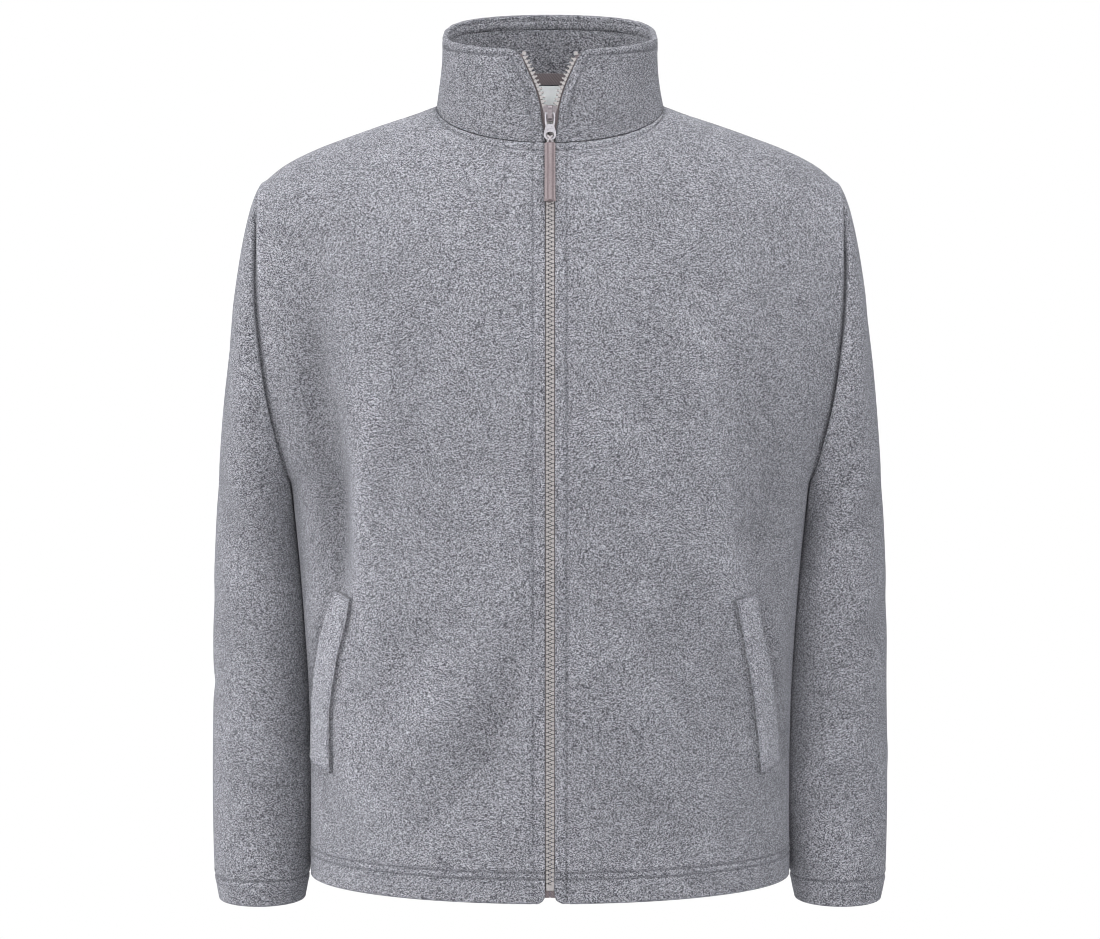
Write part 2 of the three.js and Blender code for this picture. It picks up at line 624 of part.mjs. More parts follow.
function stripWall(side, stations) {
  const corner = (s, x, depth) => {
    if (s.under && x > ZIP_HALF_GAP) {
      const u = columnAt(x, s.under);
      return trunkPoint(-1, side, u, s.under).addScaledVector(trunkNormal(-1, side, u, s.under), -depth);
    }
    const p = s.point.clone().addScaledVector(s.out, -depth);
    return p.setX(side * x);
  };
  const outer = stations.map((s) => [corner(s, s.near, s.top), corner(s, s.far, s.top)]);
  const inner = stations.map((s) => [corner(s, s.near, s.bottom), corner(s, s.far, s.bottom)]);
  return wallGeometry(outer, inner);
}

const ZIP_ROWS = [...TRUNK_ROWS.filter((h) => h > heightOf(CHAIN_BOTTOM + 4) && h < STEADY_TOP), STEADY_TOP];

function zipTape(side) {
  const station = (h, near) => {
    const top = TAPE.depth + hemCloth(h) - CLOTH;
    const far = ZIP_HALF_GAP + TAPE.width;
    return { ...panelEdge(side, h), under: h, near, far, top, bottom: top + TAPE.thickness };
  };
  const besideChain = CHAIN.width + TAPE.chainGap;
  const end = [heightOf(ZIP_BOTTOM), heightOf(CHAIN_BOTTOM - BOX.foot)];
  const stations = [...end.map((h) => station(h, TAPE.middleGap)), station(end[1] + TAPE.step, besideChain)];
  for (const h of ZIP_ROWS) stations.push(station(h, besideChain));
  return stripWall(side, stations);
}

function zipChain(side) {
  const low = heightOf(CHAIN_BOTTOM);
  const flat = (h) => ({
    ...panelEdge(side, h),
    near: CHAIN.middleGap,
    far: CHAIN.width + CHAIN.middleGap,
    top: CHAIN.depth,
    bottom: CHAIN.depth + CHAIN.thickness,
  });
  const stations = [flat(low), ...ZIP_ROWS.map(flat)];
  const inset = 1 - COLLAR_CLOTH / COLLAR_TOP.side; // the collar's inner face is this much smaller
  const { depth, width, edgeGap } = OPEN_CHAIN;
  for (const v of evenly(OPEN_CHAIN.from, OPEN_CHAIN.to, OPEN_CHAIN.steps)) {
    const z = frontEdgeZ(v);
    const near = along(OPENING, "z", "chain", z);
    const far = Math.min((along(OPENING, "z", "edge", z) - edgeGap) * inset, near + width);
    const point = collarPoint(side, v);
    const out = collarNormal(side, v).setX(0).normalize();
    stations.push({ point, out, near, far, top: depth, bottom: depth + CHAIN.thickness });
  }
  return stripWall(side, stations);
}

const wasm = await Module();
wasm.setup();

function solid(geometry) {
  const bare = geometry.clone();
  for (const name of Object.keys(bare.attributes)) if (name !== "position") bare.deleteAttribute(name);
  const merged = mergeVertices(bare, 1e-4);
  return new wasm.Manifold(
    new wasm.Mesh({
      numProp: 3,
      vertProperties: new Float32Array(merged.attributes.position.array),
      triVerts: new Uint32Array(merged.index.array),
    }),
  );
}

function geometryOf(manifold) {
  const mesh = manifold.getMesh();
  const geometry = new THREE.BufferGeometry();
  geometry.setAttribute("position", new THREE.BufferAttribute(new Float32Array(mesh.vertProperties), 3));
  geometry.setIndex(new THREE.BufferAttribute(new Uint32Array(mesh.triVerts), 1));
  return geometry;
}

function block(width, depth, height, x, y, z) {
  return new THREE.BoxGeometry(width, depth, height).translate(x, y, z);
}

// A plate in the front plane: an outline of [x, z] points, given a thickness along Y about y.
function plate(outline, thickness, y, holes = []) {
  const shape = new THREE.Shape(outline.map(([x, z]) => new THREE.Vector2(x, z)));
  for (const hole of holes) shape.holes.push(hole);
  return new THREE.ExtrudeGeometry(shape, { depth: thickness, bevelEnabled: false })
    .rotateX(Math.PI / 2)
    .translate(0, y + thickness / 2, 0);
}

function ringPoints(x, z, halfWidth, halfHeight, count) {
  return Array.from({ length: count }, (_, i) => {
    const turn = (2 * Math.PI * i) / count;
    return new THREE.Vector2(x + halfWidth * Math.cos(turn), z + halfHeight * Math.sin(turn));
  });
}

// The slider's two plates run in front of and behind the chains, joined by a wedge between them.
// It is drawn about the chains' middle plane, then leaned back with the collar.
const SLIDER = { z: -3.6, halfHeight: 7, crownHalf: 2.4, shoulder: 2, waist: 5, plate: 1.2, running: 0.45 };
const SLIDER_HALF = { top: 6.1, waist: 5.8, bottom: 4.1 };
const WEDGE = { half: 2.2, tip: 0.2, below: 0.2, length: 4.4 };
const BRIDGE = { out: 5.6, thickness: 1.2, width: 4.6, height: 12.6, leg: 2.2, sunk: 0.4 };
const COLLAR_LEAN = Math.atan2(COLLAR_TOP.frontY - NECK.frontY, COLLAR_TOP.frontZ - NECK.frontZ);

function collarFrontY(z) {
  return collarPlain(0, (z - NECK.frontZ) / (COLLAR_TOP.frontZ - NECK.frontZ)).y;
}

// A closed outline, the same on both sides, from the half widths down its right side.
function evenOutline(rows) {
  return [...rows.map(({ half, z }) => [half, z]), ...rows.map(({ half, z }) => [-half, z]).reverse()];
}

function zipSlider() {
  const top = SLIDER.halfHeight;
  const outline = evenOutline([
    { half: SLIDER.crownHalf, z: top },
    { half: SLIDER_HALF.top, z: top - SLIDER.shoulder },
    { half: SLIDER_HALF.waist, z: top - SLIDER.waist },
    { half: SLIDER_HALF.bottom, z: -top },
  ]);
  const middle = CHAIN.thickness / 2 + SLIDER.running + SLIDER.plate / 2;
  const front = solid(plate(outline, SLIDER.plate, -middle));
  const back = solid(plate(outline, SLIDER.plate, middle));
  const wedge = evenOutline([
    { half: WEDGE.half, z: top - WEDGE.below },
    { half: WEDGE.tip, z: top - WEDGE.below - WEDGE.length },
  ]);
  const join = solid(plate(wedge, middle * 2, 0));
  const { width, thickness, out, height, leg, sunk } = BRIDGE;
  const bar = solid(block(width, thickness, height, 0, -out - thickness / 2, 0));
  const face = -middle - SLIDER.plate / 2;
  const legDepth = out + thickness / 2 + face + sunk;
  const legs = [1, -1].map((way) =>
    solid(block(width, legDepth, leg, 0, face + sunk - legDepth / 2, (way * (height - leg)) / 2)),
  );
  return geometryOf([back, join, bar, ...legs].reduce((sum, piece) => sum.add(piece), front));
}

// The puller's cross bar passes under the slider's bridge; an eye at its foot carries the tab.
// It is drawn hanging from its bar, with its hinge at the origin.
const PULLER = { thickness: 1.4, bar: 1.4, slotHalf: 2.8, slotBottom: -9.4, lean: 0.12 };
const PULLER_OUTLINE = [
  { half: 4.4, z: 0.7 },
  { half: 4.6, z: -8 },
  { half: 3.9, z: -11.5 },
  { half: 4.9, z: -15 },
  { half: 5.6, z: -18.6 },
  { half: 4.9, z: -21.6 },
  { half: 2.6, z: -23.6 },
];
const EYE = { z: -19.2, halfWidth: 3.5, halfHeight: 2.6 };
const PULL_HINGE = { y: -74.1, z: -3.4 };
const ROUND_SIDES = 18; // the sides of a small round outline

function zipPuller() {
  const { bar, slotHalf, slotBottom } = PULLER;
  const slot = new THREE.Path([
    new THREE.Vector2(-slotHalf, -bar / 2),
    new THREE.Vector2(-slotHalf, slotBottom),
    new THREE.Vector2(slotHalf, slotBottom),
    new THREE.Vector2(slotHalf, -bar / 2),
  ]);
  const eye = new THREE.Path(ringPoints(0, EYE.z, EYE.halfWidth, EYE.halfHeight, ROUND_SIDES));
  return plate(evenOutline(PULLER_OUTLINE), PULLER.thickness, 0, [slot, eye]);
}

// The tab is a flattened plastic sleeve round the ends of a cord, which loops through the puller's eye.
// It is drawn hanging from the middle of its loops.
const TAB = { length: 60, halfWidth: 5, halfDepth: 2.1, below: 0.1, lean: 0.52 };
const TAB_LOOP = { radius: 2.45, cord: 0.8, apart: 1.1, sides: 6, steps: 14 };
const TAB_DROP = 3.5 - EYE.z; // from the puller's hinge to the foot of its eye
const TAB_HINGE = {
  y: PULL_HINGE.y - TAB_DROP * Math.sin(PULLER.lean),
  z: PULL_HINGE.z - TAB_DROP * Math.cos(PULLER.lean),
};

function pullTab() {
  const { radius, cord, apart, sides, steps } = TAB_LOOP;
  const loops = [-apart, apart].map((x) =>
    solid(new THREE.TorusGeometry(radius, cord, sides, steps).rotateY(Math.PI / 2).translate(x, 0, 0)),
  );
  const outline = new THREE.Shape(ringPoints(0, 0, TAB.halfWidth, TAB.halfDepth, ROUND_SIDES));
  const sleeveBody = new THREE.ExtrudeGeometry(outline, { depth: TAB.length, bevelEnabled: false });
  sleeveBody.translate(0, 0, -TAB.length - radius - TAB.below);
  return geometryOf(loops.reduce((sum, loop) => sum.add(loop), solid(sleeveBody)));
}

const STOP = { v: 0.945, width: 3.2, depth: 2.8, height: 3, fromEdge: 1.6, behind: 3, above: 1.6 };

function topStop(side) {
  const z = frontEdgeZ(STOP.v);
  const x = side * (along(OPENING, "z", "chain", z) + STOP.fromEdge);
  const y = collarPlain(frontEdgeTurn(STOP.v), STOP.v).y + STOP.behind;
  return block(STOP.width, STOP.depth, STOP.height, x, y, z + STOP.above);
}

function zipBox() {
  const at = panelEdge(1, heightOf(CHAIN_BOTTOM - BOX.height / 2));
  const y = at.point.y + CHAIN.depth + CHAIN.thickness / 2;
  const z = CHAIN_BOTTOM - BOX.below - BOX.height / 2;
  return block(BOX.width, BOX.depth, BOX.height, 0, y, z);
}

const FLEECE = { color: "#8f9098", roughness: 1, metalness: 0 };
const FINISH = {
  fleece: FLEECE,
  tape: { color: "#7d7678", roughness: 0.9, metalness: 0 },
  teeth: { color: "#b9b4ad", roughness: 0.5, metalness: 0 },
  label: { color: "#e4e8e8", roughness: 0.8, metalness: 0 },
  metal: { color: "#a6a2a8", roughness: 0.35, metalness: 0.8 },
  plastic: { color: "#92878a", roughness: 0.5, metalness: 0 },
};

const jacket = new THREE.Group();

function add(name, geometry, finish) {
  const mesh = new THREE.Mesh(geometry, new THREE.MeshStandardMaterial(FINISH[finish]));
  mesh.name = name;
  jacket.add(mesh);
  return mesh;
}

for (const [name, side] of [["right", -1], ["left", 1]]) {
  add(`front_${name}`, frontPanel(side), "fleece");
  add(`sleeve_${name}`, sleeve(side), "fleece");
  add(`pocket_welt_${name}`, pocketWelt(WELT_PLACE[name]), "fleece");
  add(`zip_tape_${name}`, zipTape(side), "tape");
  add(`zip_chain_${name}`, zipChain(side), "teeth");
  add(`zip_top_stop_${name}`, topStop(side), "teeth");
}
add("back", backPanel(), "fleece");
add("collar", collar(), "fleece");
add("neck_tape", neckTape(), "tape");
add("neck_label", neckLabel(), "label");
add("zip_box", zipBox(), "teeth");
const slider = add("zip_slider", zipSlider(), "metal");
slider.rotation.x = -COLLAR_LEAN;
slider.position.set(0, collarFrontY(SLIDER.z) + 3, SLIDER.z);
const puller = add("zip_puller", zipPuller(), "metal");
puller.rotation.x = -PULLER.lean;
puller.position.set(0, PULL_HINGE.y, PULL_HINGE.z);
const tab = add("pull_tab", pullTab(), "plastic");
tab.rotation.x = -TAB.lean;
tab.position.set(0, TAB_HINGE.y, TAB_HINGE.z);

export default jacket;
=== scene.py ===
"""The looks of a man's fleece zip jacket, filled out as worn with no wearer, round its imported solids.

Sizes are metres. X runs to the wearer's left, Y to the back and Z up, from 5 mm below the line
between the two side neck points. The cloth shells repeat the solids' own forms with finer folds
and sewing; teeth and stitches are laid along them by Geometry Nodes.
"""

import logging
import math
from dataclasses import dataclass, field
from enum import Enum, IntEnum
from typing import Callable, Optional, Sequence

import bmesh
import bpy
import numpy as np
from mathutils import Matrix, Vector


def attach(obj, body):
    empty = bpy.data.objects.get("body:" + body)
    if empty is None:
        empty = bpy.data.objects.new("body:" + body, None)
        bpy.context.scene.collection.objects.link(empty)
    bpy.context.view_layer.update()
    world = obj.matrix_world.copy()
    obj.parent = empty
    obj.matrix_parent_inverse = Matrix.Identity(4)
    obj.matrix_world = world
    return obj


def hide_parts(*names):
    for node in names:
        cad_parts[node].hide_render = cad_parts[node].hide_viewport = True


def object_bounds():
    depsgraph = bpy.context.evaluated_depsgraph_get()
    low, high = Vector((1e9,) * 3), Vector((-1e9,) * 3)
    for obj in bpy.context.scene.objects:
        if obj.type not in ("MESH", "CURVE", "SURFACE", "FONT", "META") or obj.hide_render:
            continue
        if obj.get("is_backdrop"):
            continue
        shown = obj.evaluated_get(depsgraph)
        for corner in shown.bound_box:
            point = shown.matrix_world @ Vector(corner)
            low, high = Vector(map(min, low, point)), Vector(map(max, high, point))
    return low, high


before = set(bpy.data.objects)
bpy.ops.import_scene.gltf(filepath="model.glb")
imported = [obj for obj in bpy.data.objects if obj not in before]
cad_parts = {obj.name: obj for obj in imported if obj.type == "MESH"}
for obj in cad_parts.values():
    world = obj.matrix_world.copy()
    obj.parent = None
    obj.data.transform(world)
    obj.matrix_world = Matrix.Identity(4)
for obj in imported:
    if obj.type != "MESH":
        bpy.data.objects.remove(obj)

LOG = logging.getLogger("fleece_jacket")
MM = 0.001


class Face(IntEnum):
    """Which half of the trunk a panel covers: the sign of its Y."""

    FRONT = -1
    BACK = 1


class Side(IntEnum):
    """The wearer's side that a piece is on: the sign of its X."""

    RIGHT = -1
    LEFT = 1

    @property
    def word(self) -> str:
        """The side as pieces' names give it."""
        return self.name.lower()


class Slot(Enum):
    """The record's material slots."""

    FLEECE = "fleece"
    TAPE = "tape"
    TEETH = "teeth"
    METAL = "metal"
    TAB = "tab"


class Held(Enum):
    """How a cloth piece is held in its shape."""

    HUNG = "hung"
    STRETCHED = "stretched"


# The pure shape functions work on whole arrays of points at once.


def smoothstep(value: np.ndarray, low: float, high: float) -> np.ndarray:
    """Gives 0 below low, 1 above high, and an eased ramp between them."""
    t = np.clip((np.asarray(value, float) - low) / (high - low), 0, 1)
    return t * t * (3 - 2 * t)


def blend(low: float, high: float, share: np.ndarray) -> np.ndarray:
    """Gives low at a share of 0, high at 1, and the straight mix between."""
    return low + (high - low) * share


def hermite(t, start, start_slope, end, end_slope) -> np.ndarray:
    """Gives a cubic's value from its ends and its slopes there.

    Args:
        t: how far along, from 0 to 1.
        start: the value at 0.
        start_slope: the slope at 0.
        end: the value at 1.
        end_slope: the slope at 1.

    Returns:
        The value at t.
    """
    t2 = t * t
    t3 = t2 * t
    return (
        (2 * t3 - 3 * t2 + 1) * start
        + (t3 - 2 * t2 + t) * start_slope
        + (3 * t2 - 2 * t3) * end
        + (t3 - t2) * end_slope
    )


def bell(distance: np.ndarray, reach: float) -> np.ndarray:
    """Gives 1 at no distance, falling smoothly to about a third at the reach."""
    return np.exp(-((distance / reach) ** 2))


def unit(vectors: np.ndarray) -> np.ndarray:
    """Scales each vector of an array to a length of 1."""
    return vectors / np.maximum(np.linalg.norm(vectors, axis=-1, keepdims=True), 1e-12)


def facing(place: Callable, a, b, small: float, a_ends: tuple, b_ends: tuple) -> np.ndarray:
    """Gives a surface's unit direction from small steps on it, kept between both ends.

    Args:
        place: gives points of the surface from two arrays of places.
        a: the places across.
        b: the places up.
        small: the step.
        a_ends: the lowest and highest place across.
        b_ends: the lowest and highest place up.

    Returns:
        The direction across times up, at each place.
    """
    across = place(np.minimum(a + small, a_ends[1]), b) - place(np.maximum(a - small, a_ends[0]), b)
    up = place(a, np.minimum(b + small, b_ends[1])) - place(a, np.maximum(b - small, b_ends[0]))
    return unit(np.cross(across, up))


def stack(x, y, z) -> np.ndarray:
    """Joins three arrays of coordinates into one array of points."""
    return np.stack(np.broadcast_arrays(x, y, z), axis=-1)


def mirrored(points: np.ndarray, side: float) -> np.ndarray:
    """Gives the points with their X multiplied by side; 0 flattens them to the middle plane."""
    return points * np.array([side, 1.0, 1.0])


class Table:
    """Sizes that change smoothly along a first column, from rows with named columns."""

    def __init__(self, columns: Sequence[str], rows: Sequence[Sequence[float]]) -> None:
        """Keeps the rows in rising order of their first column.

        Args:
            columns: the columns' names, the first being the one that is looked up.
            rows: the numbers, a row for each place.
        """
        values = np.array(sorted(rows), float)
        self.keys = values[:, 0]
        self.values = {name: values[:, i] for i, name in enumerate(columns)}

    @property
    def low(self) -> float:
        """The first column's lowest value."""
        return float(self.keys[0])

    def at(self, column: str, key: np.ndarray) -> np.ndarray:
        """Gives a column's value at each key, through a clamped Catmull-Rom curve.

        Args:
            column: the column's name.
            key: where to look, in the first column's own unit.

        Returns:
            The values, in the shape of key.
        """
        key = np.asarray(key, float)
        keys, values = self.keys, self.values[column]
        last = len(keys) - 1
        low = np.clip(np.searchsorted(keys, key, side="right") - 1, 0, last - 1)
        before, high, after = np.maximum(low - 1, 0), low + 1, np.minimum(low + 2, last)
        span = keys[high] - keys[low]
        t = np.clip((key - keys[low]) / span, 0, 1)
        slope_low = (values[high] - values[before]) / (keys[high] - keys[before]) * span
        slope_high = (values[after] - values[low]) / (keys[after] - keys[low]) * span
        return hermite(t, values[low], slope_low, values[high], slope_high)


@dataclass(frozen=True)
class Fold:
    """A soft ridge or trough in cloth, seen flat.

    A positive height is a ridge. Reach is its half width, bow bends its line to one side, and
    lean makes one flank steeper than the other.
    """

    start: tuple[float, float]
    end: tuple[float, float]
    height: float
    reach: float
    bow: float = 0.0
    lean: float = 0.0

    def rise(self, x: np.ndarray, z: np.ndarray) -> np.ndarray:
        """Gives how far the fold moves the cloth out at points of the flat view."""
        x0, z0 = self.start
        dx, dz = self.end[0] - x0, self.end[1] - z0
        length = math.hypot(dx, dz)
        t = ((x - x0) * dx + (z - z0) * dz) / length**2
        near = np.clip(t, 0, 1)
        across = ((x - x0) * dz - (z - z0) * dx) / length - self.bow * np.sin(np.pi * near)
        beyond = (t - near) * length
        away = np.hypot(across * (1 + self.lean * np.sign(across)), beyond) / self.reach
        swell = np.sin(np.pi * np.clip(0.12 + 0.76 * t, 0, 1))
        return self.height * swell * np.exp(-1.4 * away**2)


def fold_height(folds: Sequence[Fold], x: np.ndarray, z: np.ndarray) -> np.ndarray:
    """Adds up the rise of several folds."""
    total = np.zeros(np.broadcast(x, z).shape)
    for fold in folds:
        total = total + fold.rise(x, z)
    return total


# Painted shade in fold troughs and painted highlight on ridges: the trough depth that paints one step
# of shade, that step, and the most steps.
FOLD_SHADE_DEPTH, FOLD_SHADE_STEP, FOLD_SHADE_RANGE = 0.0065, 0.42, (-1.0, 1.7)


def nap_shade(rise: np.ndarray) -> np.ndarray:
    """Paints shade in a trough and highlight on a ridge, by the fold's depth or height."""
    return np.clip(-rise / FOLD_SHADE_DEPTH, *FOLD_SHADE_RANGE) * FOLD_SHADE_STEP


def wander(along: np.ndarray, period: float, seed: int) -> np.ndarray:
    """Gives a smooth uneven wave between about -1 and 1, as sewn cloth puckers.

    Args:
        along: distance along the seam.
        period: the usual distance between two puckers.
        seed: fixes the wave.

    Returns:
        The wave's height at each place.
    """
    draw = np.random.default_rng(seed)
    total = np.zeros(np.shape(along))
    for share in (0.62, 0.83, 1.0, 1.31, 1.9):
        phase = draw.uniform(0, 2 * np.pi)
        total = total + np.sin(2 * np.pi * along / (period * share) + phase) * draw.uniform(0.25, 0.45)
    return total


@dataclass(frozen=True)
class ClothSizes:
    """The cloth's own thicknesses and clearances, the same as the solids'."""

    layer: float = 0.0028
    hem: float = 0.0044
    collar: float = 0.005
    sleeve_clear: float = 0.001
    hem_depth: float = 0.026
    cuff_depth: float = 0.024
    edge_round: float = 0.0019
    seam_round: float = 0.0002
    neck_round: float = 0.0002
    welt_round: float = 0.0012


CLOTH = ClothSizes()


def turned_up(height: np.ndarray, depth: float) -> np.ndarray:
    """The cloth's thickness at a height above an edge that is turned up by a depth."""
    doubled = 1 - smoothstep(height, depth - 0.001, depth + 0.003)
    return blend(CLOTH.layer, CLOTH.hem, doubled)


# Painted shade along a seam: how much it darkens the cloth, and how far that reaches.
SEAM_PAINTED_SHADE, SEAM_REACH = 0.06, 0.0022


@dataclass
class TrunkForm:
    """The trunk's surface, which the fronts and the back share.

    u runs from a panel's middle to its side, and h from 0 at the hem to 1 at the chest and 2 at
    the top. The sections give the half width, where the side seam lies, and the middles.
    """

    hem_z: float = -0.696
    underarm_z: float = -0.335
    chest_z: float = -0.2
    zip_half_gap: float = 0.0043
    corner_radius: float = 0.008
    side_end: float = 0.9998
    # The highest row at which the surface's direction is taken.
    normal_top: float = 1.985
    neck_share: float = 0.4
    neck_tilt: float = 0.56
    armhole_y: dict[Face, float] = field(default_factory=lambda: {Face.FRONT: -0.05, Face.BACK: 0.054})
    neck_side: tuple[float, float, float] = (0.102, -0.002, 0.005)
    neck_middle: dict[Face, tuple[float, float]] = field(
        default_factory=lambda: {Face.FRONT: (-0.075, -0.029), Face.BACK: (0.072, 0.028)}
    )
    sections: Table = Table(
        ("z", "side", "seam", "front", "back"),
        (
            (-0.696, 0.220, -0.005, -0.126, 0.113),
            (-0.600, 0.2195, -0.005, -0.125, 0.109),
            (-0.520, 0.221, -0.004, -0.127, 0.107),
            (-0.430, 0.2265, -0.002, -0.130, 0.110),
            (-0.370, 0.232, 0.0, -0.132, 0.114),
            (-0.335, 0.236, 0.0015, -0.133, 0.117),
            (-0.300, 0.2415, 0.002, -0.133, 0.119),
            (-0.250, 0.250, 0.002, -0.131, 0.120),
            (-0.200, 0.256, 0.002, -0.127, 0.119),
        ),
    )
    shoulder: Table = Table(
        ("x", "z"),
        (
            (0.102, 0.005),
            (0.120, -0.002),
            (0.152, -0.0125),
            (0.183, -0.0235),
            (0.212, -0.0346),
            (0.240, -0.049),
            (0.262, -0.067),
        ),
    )

    @property
    def underarm_row(self) -> float:
        """The height h at which the armhole starts."""
        return (self.underarm_z - self.hem_z) / (self.chest_z - self.hem_z)

    def inner(self, face: Face) -> float:
        """The X at which a panel starts: the folded front edge, or the middle of the back."""
        return self.zip_half_gap if face is Face.FRONT else 0.0

    def middle(self, face: Face, z: np.ndarray) -> np.ndarray:
        """The Y of a panel's middle at each height."""
        return self.sections.at("front" if face is Face.FRONT else "back", z)

    def end_angle(self, face: Face, z: np.ndarray) -> np.ndarray:
        """The angle round its section where a panel ends, which the armhole makes smaller."""
        seam = self.sections.at("seam", z)
        rise = np.clip((z - self.underarm_z) / (self.chest_z - self.underarm_z), 0, 1)
        share = (self.armhole_y[face] - seam) / (self.middle(face, z) - seam)
        return np.arccos(share * np.sqrt(1 - (1 - rise) ** 2))

    def section(self, face: Face, u: np.ndarray, z: np.ndarray) -> np.ndarray:
        """Points of a level section, for x above 0."""
        seam, middle, end = self.sections.at("seam", z), self.middle(face, z), self.end_angle(face, z)
        reach = (self.sections.at("side", z) - self.inner(face)) / np.sin(end)
        x = self.inner(face) + reach * np.sin(u * end)
        return stack(x, blend(seam, middle, np.cos(u * end)), z)

    def top_edge(self, face: Face, u: np.ndarray) -> np.ndarray:
        """The neck seam and then the shoulder seam, as u runs from the middle to the sleeve."""
        turn = np.pi / 2 * np.clip(u / self.neck_share, 0, 1)
        side_x, side_y, side_z = self.neck_side
        middle_y, middle_z = self.neck_middle[face]
        inner = self.inner(face)
        neck = stack(
            blend(inner, side_x, np.sin(turn)),
            blend(side_y, middle_y, np.cos(turn)),
            blend(side_z, middle_z, np.cos(turn)),
        )
        share = (u - self.neck_share) / (1 - self.neck_share)
        x = blend(self.shoulder.keys[0], self.shoulder.keys[-1], share)
        seam = stack(x, side_y * (1 - share), self.shoulder.at("z", x))
        return np.where((u < self.neck_share)[..., None], neck, seam)

    def eased_top_edge(self, face: Face, u: np.ndarray, below: np.ndarray) -> np.ndarray:
        """The top edge, its corner at the side of the neck rounded more the further below it."""
        step = 0.11 * np.minimum(below, 0.6)
        first, last = self.top_edge(face, np.zeros(1)), self.top_edge(face, np.ones(1))
        total = np.zeros((*np.shape(u), 3))
        for count, weight in ((-2, 1), (-1, 2), (0, 3), (1, 2), (2, 1)):
            at = u + count * step
            point = self.top_edge(face, np.where(at < 0, -at, np.minimum(at, 2 - at)))
            before = mirrored(point, -1) + np.array([2.0, 0, 0]) * first
            after = 2 * last - point
            point = np.where((at < 0)[..., None], before, np.where((at > 1)[..., None], after, point))
            total += point * weight / 9
        return total

    def plain(self, face: Face, u: np.ndarray, h: np.ndarray) -> np.ndarray:
        """The surface without its folds, for x above 0."""
        u, h = np.broadcast_arrays(np.asarray(u, float), np.asarray(h, float))
        span = self.chest_z - self.hem_z
        low = self.section(face, u, self.hem_z + span * np.minimum(h, 1))
        start = self.section(face, u, np.full_like(u, self.chest_z))
        rise = (start - self.section(face, u, np.full_like(u, self.chest_z - 2 * MM))) / (2 * MM)
        end = self.eased_top_edge(face, u, np.clip(2 - h, 0, 1))
        reach = np.linalg.norm(end - start, axis=-1, keepdims=True)
        tilt = blend(self.neck_tilt, np.pi / 2, smoothstep(u, 0, self.neck_share * 1.4))
        over = stack(0 * tilt, -face * np.sin(tilt), np.cos(tilt))
        t = np.clip(h - 1, 0, 1)[..., None]
        high = hermite(t, start, rise * reach, end, over * reach * 0.95)
        return np.where((h <= 1)[..., None], low, high)

    def outward(self, face: Face, u: np.ndarray, h: np.ndarray) -> np.ndarray:
        """The plain surface's outward direction, for x above 0."""
        h = np.minimum(h, self.normal_top)
        ends = (0, self.normal_top)
        return facing(lambda a, b: self.plain(face, a, b), u, h, 0.002, (0, 1), ends) * -face

    def column_at(self, face: Face, x: float, h: np.ndarray) -> np.ndarray:
        """The u that lies at a distance x from the middle, for each h."""
        low, high = np.zeros(np.shape(h)), np.full(np.shape(h), 0.35)
        for _ in range(22):
            middle = (low + high) / 2
            short = self.plain(face, middle, h)[..., 0] < x
            low, high = np.where(short, middle, low), np.where(short, high, middle)
        return high

    def front_place(self, x: np.ndarray, z: np.ndarray) -> tuple[np.ndarray, np.ndarray]:
        """The u and h of the front under a point of the front view, below the chest."""
        end = self.end_angle(Face.FRONT, z)
        reach = self.sections.at("side", z) - self.zip_half_gap
        u = np.arcsin(np.clip((x - self.zip_half_gap) / reach * np.sin(end), -1, 1)) / end
        return u, (z - self.hem_z) / (self.chest_z - self.hem_z)


TRUNK = TrunkForm()


def fold_list(*rows: Sequence[float]) -> tuple[Fold, ...]:
    """Makes folds from rows in millimetres: both ends' x and z, height, reach, then bow and lean."""
    found = []
    for x0, z0, x1, z1, height, reach, *rest in rows:
        bow, lean = (*rest, 0.0, 0.0)[:2]
        found.append(
            Fold((x0 * MM, z0 * MM), (x1 * MM, z1 * MM), height * MM, reach * MM, bow * MM, lean)
        )
    return tuple(found)


